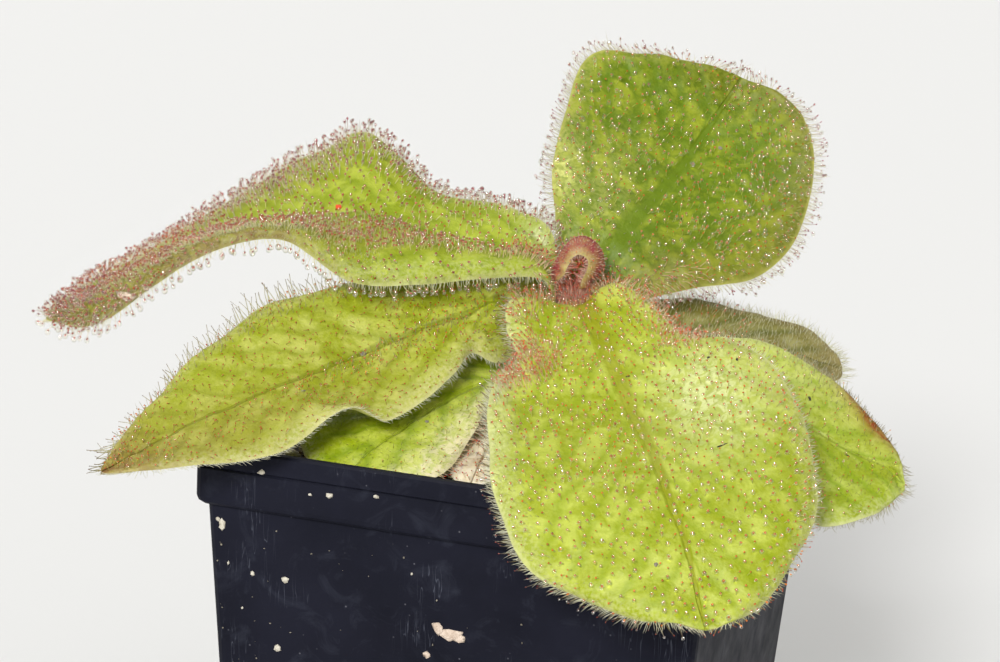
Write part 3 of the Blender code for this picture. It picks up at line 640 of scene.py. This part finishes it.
# Hairs: each kind is modelled once, then copied over the leaves, bent and sized. Each ring of
# it says its rise along the hair, its shift and its radius as shares of the gland's radius,
# its radius as a share of the stalk's, and the place along the hair that its colour reads.
glandedShape = dict(sides=4, rings=[
    (-0.1, 0.0, 0.0, 0.0, 0.0), (0.0, 0.0, 0.0, 1.25, 0.0), (0.55, 0.0, 0.0, 0.85, 0.5),
    (1.0, -1.9, 0.0, 0.75, 0.84), (1.0, -0.85, 1.0, 0.0, 0.95), (1.0, 0.0, 0.0, 0.0, 1.0),
])
plainShape = dict(sides=3, rings=[
    (-0.1, 0.0, 0.0, 0.0, 0.0), (0.0, 0.0, 0.0, 1.1, 0.0), (0.35, 0.0, 0.0, 0.85, 0.35),
    (0.7, 0.0, 0.0, 0.6, 0.7), (1.0, 0.0, 0.0, 0.0, 0.83),
])
# where hairs are tried: from, to and in how many steps along and across a blade and along its
# margins, how often, the least and largest gap as shares of the spacing, and how far a
# crowded zone draws them together
scatter = dict(shares=(0.03, 0.985, 110), sides=(-0.96, 0.96, 60), rim=(0.05, 1.0, 400), tries=6,
               gaps=(0.75, 1.15), crowding=0.6)
# how loosely hairs stand on the faces and on the margins, and how far those on margins rise
stance = dict(loose=0.16, rimLoose=0.1, rimRise=(-0.15, 0.6), rimCurl=(-0.1, 0.45), sway=0.2, lean=0.7)


def ballModel(segments, rings):
    deselect()
    bpy.ops.mesh.primitive_uv_sphere_add(segments=segments, ring_count=rings, radius=1)
    made = bpy.context.object
    points = readPoints(made.data)
    faces = [tuple(face.vertices) for face in made.data.polygons]
    bpy.data.objects.remove(made)
    return points, faces


def hairModel(shape):
    # a sphere of few sides whose rings are pulled out into a stalk, with or without a gland
    last = len(shape["rings"]) - 1
    points, faces = ballModel(shape["sides"], last)
    ring = last - np.round(np.arccos(np.clip(points[:, 2], -1, 1)) / math.pi * last).astype(int)
    spokes = unit(np.where(np.abs(points[:, :2]) < 1e-4, 0, points[:, :2]))
    rows = np.array(shape["rings"])[ring]
    return dict(spokes=spokes, faces=faces, rise=rows[:, 0], shift=rows[:, 1], wide=rows[:, 2],
                thin=rows[:, 3], place=rows[:, 4])


def startHeap():
    return dict(points=[], corners=[], sizes=[], maps=[], looks=[], count=0)


def addCopies(heap, faces, points, look=0, maps=None):
    # adds copies, by vertices, by three, in the frame's metres
    copies, each, _ = points.shape
    corners = np.array([corner for face in faces for corner in face])
    heap["corners"].append((corners[None, :] + np.arange(copies)[:, None] * each + heap["count"]).ravel())
    heap["sizes"].append(np.tile([len(face) for face in faces], copies))
    heap["looks"].append(np.full(copies * len(faces), look))
    heap["points"].append(points.reshape(-1, 3))
    heap["maps"].append(np.zeros((copies * each, 2)) if maps is None else maps.reshape(-1, 2))
    heap["count"] += copies * each


def heapObject(name, heap, looks):
    points, corners, sizes, maps, picked = (
        np.concatenate(heap[key]) for key in ("points", "corners", "sizes", "maps", "looks")
    )
    mesh = bpy.data.meshes.new(name)
    mesh.vertices.add(len(points))
    mesh.vertices.foreach_set("co", points.ravel())
    mesh.loops.add(len(corners))
    mesh.loops.foreach_set("vertex_index", corners)
    mesh.polygons.add(len(sizes))
    mesh.polygons.foreach_set("loop_start", np.concatenate([[0], np.cumsum(sizes)[:-1]]))
    for look in looks:
        mesh.materials.append(look)
    mesh.polygons.foreach_set("material_index", picked)
    mesh.update(calc_edges=True)
    layer = mesh.uv_layers.new(name="hairMap")
    layer.data.foreach_set("uv", maps[corners].ravel())
    mesh.validate()
    made = bpy.data.objects.new(name, mesh)
    bpy.context.scene.collection.objects.link(made)
    mesh.shade_smooth()
    return made


def facePlaces(leaf, coat, rng):
    # shares and sides scattered evenly over the blade, none nearer than the spacing
    steps = np.linspace(*scatter["shares"]), np.linspace(*scatter["sides"])
    share, side = np.meshgrid(*steps, indexing="ij")
    shape = share.shape
    grid = sheetPoint(leaf, share.ravel(), (side * narrowTip(share)).ravel()).reshape(*shape, 3)
    area = np.linalg.norm(np.cross(grid[1:, :-1] - grid[:-1, :-1], grid[:-1, 1:] - grid[:-1, :-1]), axis=2)
    flatShare, flatSide = share[:-1, :-1].ravel(), side[:-1, :-1].ravel()
    wanted = np.ones(area.size)
    if coat["only"]:
        wanted = zoneShare(coat["only"], flatShare, flatSide)
        wanted[wanted < 0.15] = 0
    wanted = wanted * (1 - zoneShare(coat["bare"], flatShare, flatSide)) ** 2
    chance = area.ravel() * wanted
    tries = int(chance.sum() / coat["spacing"] ** 2 * scatter["tries"])
    chance = chance / chance.sum()
    i, j = np.divmod(rng.choice(len(chance), size=tries, p=chance), shape[1] - 1)
    shares = share[i, j] + rng.uniform(0, share[1, 0] - share[0, 0], tries)
    sides = side[i, j] + rng.uniform(0, side[0, 1] - side[0, 0], tries)
    points = sheetPoint(leaf, shares, sides * narrowTip(shares))
    crowded = 1 - scatter["crowding"] * zoneShare(coat["crowd"], shares, sides)
    gaps = coat["spacing"] * crowded * rng.uniform(*scatter["gaps"], tries)
    cell = coat["spacing"] * scatter["gaps"][1]
    kept, homes = [], {}
    for n, point in enumerate(points):
        x, y, z = (point // cell).astype(int)
        around = [
            other for dx in (-1, 0, 1) for dy in (-1, 0, 1) for dz in (-1, 0, 1)
            for other in homes.get((x + dx, y + dy, z + dz), ())
        ]
        if all(((point - points[other]) ** 2).sum() > gaps[n] ** 2 for other in around):
            homes.setdefault((x, y, z), []).append(n)
            kept.append(n)
    return shares[kept], sides[kept]


def rimPlaces(leaf, coat, rng):
    # shares along the margins, about the spacing apart, and round the tip
    shares, sides = [], []
    for sign in [coat["side"]] if coat["side"] else [-1, 1]:
        share = np.linspace(*scatter["rim"])
        line = sheetPoint(leaf, share, sign * narrowTip(share))
        run = np.concatenate([[0], np.cumsum(np.linalg.norm(np.diff(line, axis=0), axis=1))])
        count = int(run[-1] / coat["spacing"])
        marks = (np.arange(count) + rng.uniform(0, 1, count)) * run[-1] / count
        shares.append(np.interp(marks, run, share))
        sides.append(np.full(count, float(sign)))
    return np.concatenate(shares), np.concatenate(sides)


def hairRoots(leaf, coat, rng):
    # where the hairs stand, which way they point, and how they curl
    rim = coat["where"] == "rim"
    under = -1.0 if coat["where"] == "under" else 1.0
    share, side = (rimPlaces if rim else facePlaces)(leaf, coat, rng)
    count = len(share)
    tapered = side * narrowTip(share)
    along, across, up = sheetAxes(leaf, share, tapered)
    middle = sheetPoint(leaf, share, tapered)
    edge = leafPlace(leaf, share, side)[2]
    half = blade["thickness"] / 2 * np.clip(edge / blade["edgeTaper"], 0, 1) ** 0.7
    lift = leafRelief(leaf, share, tapered, middle) + half * under
    root = middle + up * lift[:, None]
    loose = rng.normal(size=(count, 3)) * stance["rimLoose" if rim else "loose"]
    if rim:
        tipward = np.clip((share - 0.9) / 0.1, 0, 1)[:, None]
        out = unit(across * side[:, None] * (1 - 0.75 * tipward) + along * tipward)
        rise = rng.uniform(*stance["rimRise"], (count, 1)) + coat["spread"] * rng.uniform(0, 1, (count, 1))
        direction = out + up * rise + along * rng.normal(size=(count, 1)) * stance["sway"] + loose
        curl = up * rng.uniform(*stance["rimCurl"], (count, 1))
        curl = curl + along * rng.normal(size=(count, 1)) * stance["sway"]
    else:
        flat = np.clip(rng.normal(size=(count, 1)) * 0.1 + coat["flat"], 0, 0.95)
        spin = rng.uniform(0, math.tau, (count, 1))
        level = along * np.cos(spin) + across * np.sin(spin)
        lean = across * (stance["lean"] * side**3)[:, None]
        direction = up * under * (1 - flat) + level * flat + lean + loose
        curl = up * under * flat * 0.3
    curl = curl + rng.normal(size=(count, 3)) * coat["curl"]
    return root, unit(direction), curl


def bendHairs(hairs, model, coat, root, direction, curl, rng, look):
    # copies the modelled hair to every root and returns where the glands' middles are
    count = len(root)
    length = rng.uniform(*coat["length"], count)[:, None, None]
    away = unit(np.cross(direction, rng.normal(size=(count, 3))))
    over = np.cross(direction, away)
    size = rng.uniform(0.8, 1.2, count)[:, None]
    rise, shift = model["rise"][None, :, None], model["shift"][None, :, None]
    straight = rise * length + shift * coat["gland"]
    reach = np.clip(straight / length, 0, 1)
    centre = root[:, None, :] + direction[:, None, :] * straight + curl[:, None, :] * reach**2 * length
    radius = (model["thin"] * coat["thick"] + model["wide"] * coat["gland"])[None, :] * size
    across, along = model["spokes"][None, :, :1], model["spokes"][None, :, 1:2]
    spokes = away[:, None, :] * across + over[:, None, :] * along
    points = centre + spokes * radius[:, :, None]
    maps = np.stack([
        np.broadcast_to(rng.uniform(0, 1, (count, 1)), points.shape[:2]),
        np.broadcast_to(model["place"][None, :], points.shape[:2]),
    ], -1)
    addCopies(hairs, model["faces"], toPot(points), look, maps)
    return root + (direction + curl * 0.96) * (length[:, :, 0] - coat["gland"] * 0.8)


def growCoat(hairs, dew, coat, root, direction, curl, rng):
    model = hairModels["glanded" if coat["gland"] else "plain"]
    tips = bendHairs(hairs, model, coat, root, direction, curl, rng, list(hairPaints).index(coat["look"]))
    wet = rng.uniform(0, 1, len(root)) < coat["dew"]
    if wet.any():
        low, high = coat["drop"]
        radius = (low + (high - low) * rng.uniform(0, 1, wet.sum()) ** 1.5)[:, None, None]
        sag = np.array([0, 0, -0.3]) * radius
        ball = drop[0][None, :, :] * (1, 1, 1.15) * radius
        addCopies(dew, drop[1], toPot(tips[wet][:, None, :] + sag + ball))


def hairMaterial(name, stalk, neck, gland):
    made, shader = startMaterial(name)
    coords = objectCoords()
    maps = addNode("ShaderNodeUVMap", uv_map="hairMap").outputs[0]
    anyOf, up, _ = addNode("ShaderNodeSeparateXYZ", {0: maps}).outputs
    other = [min(255, part + more) for part, more in zip(gland, (50, 40, 40))]
    colour = blend(remap(up, 0.4, 0.85), sRgb(*stalk), sRgb(*neck))
    colour = blend(remap(up, 0.84, 0.9), colour, blend(anyOf, sRgb(*gland), sRgb(*other)))
    mottled = remap(cloud(coords, 0.4, 2), 0.3, 0.7, 0.8, 1.15)
    fill(shader, {
        "Base Color": blend(1.0, colour, mottled, "MULTIPLY"),
        "Roughness": remap(up, 0.8, 0.9, 0.4, 0.2),
        "Normal": bump(cloud(coords, 0.2, 2), 0.02, 0.4),
        "Subsurface Weight": 0.25,
        "Subsurface Radius": (1.0, 0.8, 0.5),
        "Subsurface Scale": 0.0004,
    })
    return made


def dewMaterial():
    # clear slime: half of the light goes straight on, so the gland in it stays lit
    made, shader = startMaterial("dew")
    fill(shader, {
        "Base Color": (0.98, 0.95, 0.78, 1.0),
        "Transmission Weight": 1.0,
        "IOR": 1.33,
        "Specular IOR Level": 1.0,
        "Coat Weight": 1.0,
        "Coat IOR": 2.2,
        "Coat Roughness": 0.02,
        "Alpha": 0.5,
        "Roughness": remap(cloud(objectCoords(), 3, 2), 0.3, 0.7, 0.0, 0.04),
    })
    return made


# Paints of the hairs, as sRGB: stalk, neck and gland
hairPaints = {
    "orange": [(182, 182, 96), (196, 150, 76), (164, 80, 0)],
    "amber": [(176, 180, 84), (184, 154, 66), (158, 74, 4)],
    "wine": [(206, 196, 140), (196, 140, 100), (134, 36, 8)],
    "plum": [(188, 176, 160), (160, 104, 108), (110, 26, 40)],
    "pink": [(222, 194, 156), (206, 112, 90), (178, 52, 18)],
    # rose: pink, lightened to make up for the deep shade among the hairs round the stem's top: partly painted
    # light
    "rose": [(236, 190, 168), (226, 136, 118), (194, 60, 36)],
    "rust": [(156, 128, 52), (148, 84, 40), (154, 46, 18)],
    "dark": [(104, 92, 36), (74, 46, 22), (96, 28, 16)],
    "grey": [(168, 162, 120), (122, 108, 82), (84, 60, 40)],
    "pale": [(212, 210, 176), (196, 188, 158), (120, 70, 60)],
}

print("leaves and hairs")
hairModels = {"glanded": hairModel(glandedShape), "plain": hairModel(plainShape)}
drop = ballModel(8, 4)
hairLooks = [hairMaterial("hairs_" + key, *paint) for key, paint in hairPaints.items()]
dewLook = dewMaterial()


def trianglesOf(piece):
    return sum(len(face.vertices) - 2 for face in piece.data.polygons)


for number, name in enumerate(leafStyles):
    leaf = leafStyles[name] = {**leafDefaults, **leafStyles[name]}
    leaf["rails"] = railsOf(leaf)
    measureLeaf(leaf)
    bladePiece = makeBlade(name, leaf)
    bladePiece.data.materials.append(leafMaterial(name + "_skin", leafPaints[leaf["paint"]], leaf["ribShow"]))
    hairs, dew = startHeap(), startHeap()
    rng = np.random.default_rng(100 + number)
    for coat in leaf["coats"]:
        growCoat(hairs, dew, coat, *hairRoots(leaf, coat, rng), rng)
    pieces = [bladePiece, heapObject(name + "_hairs", hairs, hairLooks)]
    if dew["count"]:
        pieces.append(heapObject(name + "_dew", dew, [dewLook]))
    for piece in pieces:
        belongs(piece, leaf["slot"], name)
    print(name, [trianglesOf(piece) for piece in pieces])


# Stem: red hairs all round its top, where the young leaf grows
tuft = dict(hairDefaults, count=420, length=(1.8, 4.2), gland=0.14, thick=0.075, dew=0.25, look="rose")


def growStemHairs():
    rng = np.random.default_rng(7)
    hairs, dew = startHeap(), startHeap()
    count = tuft["count"]
    turn = rng.uniform(0, math.tau, count)
    down = rng.uniform(0, 1, count) ** 1.3
    out = np.clip(down * 2.4, 0.1, 1)
    spokes = np.stack([np.cos(turn), np.sin(turn), np.zeros(count)], 1)
    root = np.array([*stemPlace, 0.0]) + spokes * (stemRadius * 0.9 * out)[:, None]
    root[:, 2] = stemTop - 0.25 - np.where(down > 0.42, (down - 0.42) * 7, 0) - 0.9 * out**4
    direction = unit(spokes * (0.25 + 0.7 * down)[:, None] + (0, 0, 1) + rng.normal(size=(count, 3)) * 0.12)
    curl = spokes * 0.15 + rng.normal(size=(count, 3)) * 0.12
    growCoat(hairs, dew, tuft, root, direction, curl, rng)
    return heapObject("stem_hairs", hairs, hairLooks), heapObject("stem_dew", dew, [dewLook])


def stemMaterial():
    made, shader = startMaterial("stem_fibrous")
    coords = objectCoords((1.0, 1.0, 0.35))
    fibres = remap(cloud(coords, 1.0, 5, 0.7, 0.5), 0.35, 0.65)
    colour = blend(fibres, sRgb(112, 76, 48), sRgb(150, 126, 76))
    scars = remap(cells(objectCoords(), 1.6), 0.1, 0.5, 1.0, 0.0)
    fill(shader, {
        "Base Color": lay(colour, scars, 0.4, sRgb(160, 84, 64)),
        "Roughness": remap(fibres, 0, 1, 0.6, 0.85),
        "Normal": bump(cloud(coords, 0.7, 5, 0.7), 0.3, 0.9),
    })
    return made


# Pot: the frame's own solid, with a dusty, scratched satin black plastic
def potMaterial():
    made, shader = startMaterial("pot_plastic_dusty")
    coords = objectCoords()
    colour = blend(remap(cloud(coords, 22, 4, 0.6), 0.3, 0.7), sRgb(20, 21, 30), sRgb(28, 29, 40))
    haze = remap(cloud(coords, 7, 6, 0.7, 1.2), 0.52, 0.8, 0.0, 0.5)
    colour = blend(haze, colour, sRgb(54, 57, 68))
    specks = times(remap(cells(coords, 2.4), 0.03, 0.085, 1.0, 0.0), remap(cloud(coords, 9, 3), 0.46, 0.6))
    colour = lay(colour, specks, 0.5, sRgb(120, 120, 128))
    thin = sums("SUBTRACT", cloud(objectCoords((1.0, 1.0, 0.06)), 1.1, 2), 0.5)
    scratches = remap(sums("ABSOLUTE", thin), 0.0, 0.012, 1.0, 0.0)
    scratches = times(scratches, remap(cloud(coords, 14, 2), 0.55, 0.65))
    rough = remap(cloud(coords, 5, 5, 0.6), 0.3, 0.7, 0.42, 0.6)
    fill(shader, {
        "Base Color": lay(colour, scratches, 0.5, sRgb(92, 96, 108)),
        "Roughness": sums("ADD", rough, times(specks, 0.3)),
        "Normal": bump(cloud(coords, 0.5, 3), 0.02, 0.5, bump(cloud(coords, 16, 2), 0.25, 0.35)),
        "Specular IOR Level": 0.05,
    })
    return made


# Soil: the frame's own solid, covered with crumbs of peat and bark and a few pale grains
def lumpMaterial(name, dark, light, size):
    made, shader = startMaterial(name)
    coords = objectCoords()
    tone = remap(cloud(coords, size, 5, 0.7, 0.6), 0.35, 0.65)
    colour = blend(tone, sRgb(*dark), sRgb(*light))
    pits = remap(cells(coords, size / 2), 0.1, 0.4, 1.0, 0.0)
    fill(shader, {
        "Base Color": lay(colour, pits, 0.4, sRgb(*dark)),
        "Roughness": remap(tone, 0, 1, 0.8, 0.95),
        "Normal": bump(cloud(coords, size / 2, 5, 0.7), 0.3 * size, 1.0),
    })
    return made


def surfacePlaces(node, count, rng):
    # random places on a frame solid's upward faces, in millimetres of the frame, with normals
    mesh = bpy.data.objects[node].data
    mesh.calc_loop_triangles()
    corners = np.array([triangle.vertices[:] for triangle in mesh.loop_triangles])
    a, b, c = readPoints(mesh)[corners].transpose(1, 0, 2) / mm
    cross = np.cross(b - a, c - a)
    chance = np.linalg.norm(cross, axis=1) * (unit(cross)[:, 2] > 0.5)
    picked = rng.choice(len(chance), size=count, p=chance / chance.sum())
    u, v = rng.uniform(0, 1, (2, count))
    u, v = np.where(u + v > 1, 1 - u, u)[:, None], np.where(u + v > 1, 1 - v, v)[:, None]
    return a[picked] + (b - a)[picked] * u + (c - a)[picked] * v, unit(cross)[picked]


def lying(normals, rng):
    # axes for lumps that lie on a surface, turned at random round its normals
    along = unit(np.cross(normals, rng.normal(size=(len(normals), 3))))
    return np.stack([along, np.cross(normals, along), normals], 1)


def addLumps(heap, places, axes, sizes, look, rng, rough=0.16):
    # bumpy lumps: places and half sizes in millimetres of the frame
    ball = lump[0][None, :, :] * (1 + rng.normal(size=(len(places), len(lump[0]), 1)) * rough)
    addCopies(heap, lump[1], (places[:, None, :] + (ball * sizes[:, None, :]) @ axes) * mm, look)


lump = ballModel(6, 4)
lumpLooks = [
    lumpMaterial("crumbs_peat", (18, 12, 8), (62, 42, 28), 1.5),
    lumpMaterial("crumbs_bark", (70, 46, 28), (128, 94, 62), 1.5),
    lumpMaterial("crumbs_pale", (176, 168, 150), (226, 220, 204), 1.0),
    lumpMaterial("flakes_beige", (188, 166, 146), (228, 210, 192), 1.0),
    lumpMaterial("crumbs_orange", (214, 44, 8), (240, 96, 20), 0.8),
    lumpMaterial("crumbs_grey", (112, 104, 88), (160, 152, 134), 0.8),
]
# the first three looks on the soil: share of the crumbs, evenness of size, and stretch
crumbs = dict(count=560, radius=(0.4, 1.5), kinds=[
    (0.72, 1.6, (1, 1, 0.7)), (0.2, 1.3, (1.8, 0.7, 0.5)), (0.08, 1.0, (1, 1, 0.9)),
])


def growSoil():
    rng = np.random.default_rng(21)
    heap = startHeap()
    places, normals = surfacePlaces("soil", crumbs["count"], rng)
    shares = [share for share, _, _ in crumbs["kinds"]]
    kinds = rng.choice(len(shares), size=len(places), p=shares)
    for kind, (_, power, shape) in enumerate(crumbs["kinds"]):
        some = kinds == kind
        radius = rng.uniform(*crumbs["radius"], (some.sum(), 1)) ** power
        stretch = rng.uniform(0.6, 1.4, (some.sum(), 3)) * shape
        over, up = places[some] + normals[some] * 0.2, normals[some]
        addLumps(heap, over, lying(up, rng), radius * stretch, kind, rng)
    return heapObject("soil_crumbs", heap, lumpLooks)


# Dry flakes and crumbs that stick to the pot: (x, height from its foot, width, height) in
# millimetres on the front wall, or on the rim band where the last value is 1
flakes = [
    (0.9, 57.6, 5.0, 2.6, 0), (2.6, 57.0, 2.6, 2.0, 0), (-1.0, 58.2, 2.2, 2.2, 0),
    (-40.8, 70.8, 1.3, 2.4, 0), (-41.5, 71.8, 1.0, 1.0, 0), (-29.0, 62.5, 1.7, 1.5, 0),
    (-35.0, 62.8, 0.8, 1.0, 0), (-30.4, 49.6, 1.4, 1.3, 0), (-3.0, 53.1, 1.8, 1.2, 0),
    (-32.9, 81.9, 1.5, 0.8, 1), (-20.6, 79.7, 1.3, 1.0, 1), (-12.2, 80.6, 1.2, 0.8, 1),
    (-24.0, 79.2, 0.7, 0.5, 1), (-6.0, 67.4, 0.5, 0.5, 0), (-37.0, 56.0, 0.5, 0.5, 0),
    (-39.6, 64.0, 0.5, 0.7, 0),
]
flakeForm = dict(thickness=0.44, rough=0.22, beigeFrom=1.7)
dust = dict(count=50, left=-42, reach=66, heights=(40, 73), radius=(0.05, 0.16))
wallAxes = np.array([[(1, 0, 0), (0, 0, 1), (0, -1, 0)]])  # upright on the front wall
potWall = dict(step=1.6, bandFoot=74.4, taper=0.0625)


def wallAt(front, height):
    # the front wall's own place under the band, which draws in towards the foot
    return front + potWall["step"] + (potWall["bandFoot"] - height) * potWall["taper"]


def growFlakes():
    rng = np.random.default_rng(5)
    heap = startHeap()
    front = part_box("pot")[0].y / mm
    for x, height, width, tall, onBand in flakes:
        places = np.array([[x, front if onBand else wallAt(front, height), height]])
        sizes = np.array([[width, tall, flakeForm["thickness"]]]) / 2
        look = 3 if width > flakeForm["beigeFrom"] else 2
        addLumps(heap, places, wallAxes, sizes, look, rng, flakeForm["rough"])
    count = dust["count"]
    x = rng.uniform(0, 1, count) ** 1.6 * dust["reach"] + dust["left"]
    height = rng.uniform(*dust["heights"], count)
    places = np.stack([x, wallAt(front, height), height], 1)
    sizes = rng.uniform(*dust["radius"], (count, 1)) * rng.uniform(0.6, 1.6, (count, 3))
    addLumps(heap, places, wallAxes, sizes, 5, rng, flakeForm["rough"])
    return heapObject("pot_flakes", heap, lumpLooks)


# Bits that lie on the leaves: leaf, where along, where across, length, width, look
litter = [
    ("leaf_left", 0.48, -0.1, 1.5, 1.3, 4), ("leaf_left", 0.83, 0.9, 4.9, 1.7, 3),
    ("leaf_left", 0.79, 0.97, 1.6, 0.9, 3), ("leaf_lower_left", 0.46, 0.03, 1.3, 1.2, 5),
    ("leaf_lower_left", 0.62, 0.25, 0.9, 0.4, 5), ("leaf_upper_right", 0.7, -0.17, 1.1, 1.0, 5),
    ("leaf_upper_right", 0.62, -0.05, 1.5, 0.6, 5), ("leaf_upper_right", 0.42, -0.3, 1.3, 0.3, 0),
    ("leaf_upper_right", 0.46, 0.07, 0.8, 0.4, 0), ("leaf_front", 0.62, 0.42, 2.2, 0.3, 0),
    ("leaf_front", 0.8, -0.25, 1.0, 0.8, 5), ("leaf_front", 0.5, 0.85, 0.8, 0.5, 0),
    ("leaf_front", 0.45, 0.75, 0.7, 0.5, 0), ("leaf_front", 0.36, 0.1, 0.9, 0.3, 0),
    ("leaf_right", 0.6, 0.35, 1.0, 0.6, 0), ("leaf_right", 0.72, -0.1, 1.0, 0.3, 0),
    ("leaf_under_left", 0.6, 0.2, 0.9, 0.8, 5),
]


def growLitter():
    rng = np.random.default_rng(12)
    heap = startHeap()
    for name, share, side, length, width, look in litter:
        leaf, at, across = leafStyles[name], np.array([share]), np.array([side])
        point = sheetPoint(leaf, at, across)
        up = sheetAxes(leaf, at, across)[2]
        top = toPot(point + up * (leafRelief(leaf, at, across, point) + blade["thickness"] / 2)[:, None])
        upward = unit(toPot(point + up) - toPot(point))
        sizes = np.array([[length, width, min(width, 0.5)]]) / 2
        addLumps(heap, top / mm, lying(upward, rng), sizes, look, rng)
    return heapObject("leaf_litter", heap, lumpLooks)


def dress(nodeName, look):
    made = bpy.data.objects[nodeName].data.materials
    made.clear()
    made.append(look)


print("stem, soil and pot")
for piece in growStemHairs():
    belongs(piece, "leaf_red")
for piece in (growSoil(), growFlakes(), growLitter()):
    belongs(piece, "soil")
dress("stem", stemMaterial())
dress("soil", lumpLooks[0])
dress("pot", potMaterial())

print("light and camera")
studio = dict(sky=(1.0, 0.99, 0.97, 1), skyPower=0.58, floor=(0.73, 0.73, 0.72, 1))
lamps = dict(
    key=dict(place=(-190, -580, 365), width=16, power=2.8),
    back=dict(place=(-300, 520, 520), width=40, power=0.7),
    glint=dict(place=(-120, -420, 620), width=14, power=5.0),
)
view = dict(target=(-6.2, 0.0, 15.2), distance=450.0, elevation=14.0, roll=3.0, lens=90.0)

world = bpy.context.scene.world or bpy.data.worlds.new("studio")
bpy.context.scene.world = world
world.use_nodes = True
sky = world.node_tree.nodes["Background"].inputs
sky["Color"].default_value = studio["sky"]
sky["Strength"].default_value = studio["skyPower"]
lookAt = Vector(toPot(view["target"]))
for name, lamp in lamps.items():
    deselect()
    bpy.ops.object.light_add(type="SUN", location=Vector(toPot(lamp["place"])))
    light = bpy.context.object
    light.name = "light_" + name
    light.data.angle = math.radians(lamp["width"])
    light.data.energy = lamp["power"]
    light.visible_diffuse = name != "glint"  # glint only adds shine to dew and hairs
    light.rotation_euler = (lookAt - light.location).to_track_quat("-Z", "Y").to_euler()

deselect()
bpy.ops.mesh.primitive_plane_add(size=8)
floor = bpy.context.object
floor.name = "floor"
floorLook, floorShader = startMaterial("floor_pale")
fill(floorShader, {"Base Color": studio["floor"], "Roughness": 0.9})
floor.data.materials.append(floorLook)

lift, roll = math.radians(view["elevation"]), math.radians(view["roll"])
ahead = np.array([0, math.cos(lift), -math.sin(lift)])
level = np.array([1.0, 0, 0])
upward = np.cross(level, ahead)
rightward = level * math.cos(roll) + upward * math.sin(roll)
upward = upward * math.cos(roll) - level * math.sin(roll)
eye = np.array(view["target"]) - ahead * view["distance"]
deselect()
bpy.ops.object.camera_add(location=Vector(toPot(eye)))
camera = bpy.context.object
camera.data.lens = view["lens"]
camera.data.sensor_width = 36
camera.data.clip_start = 0.01
turned = camera.matrix_world.copy()
for column, axis in enumerate((rightward, upward, -ahead)):
    for row, part in enumerate((toPot(eye + axis) - toPot(eye)) / mm):
        turned[row][column] = part
camera.matrix_world = turned
bpy.context.scene.camera = camera
bpy.context.scene.view_settings.view_transform = "Standard"
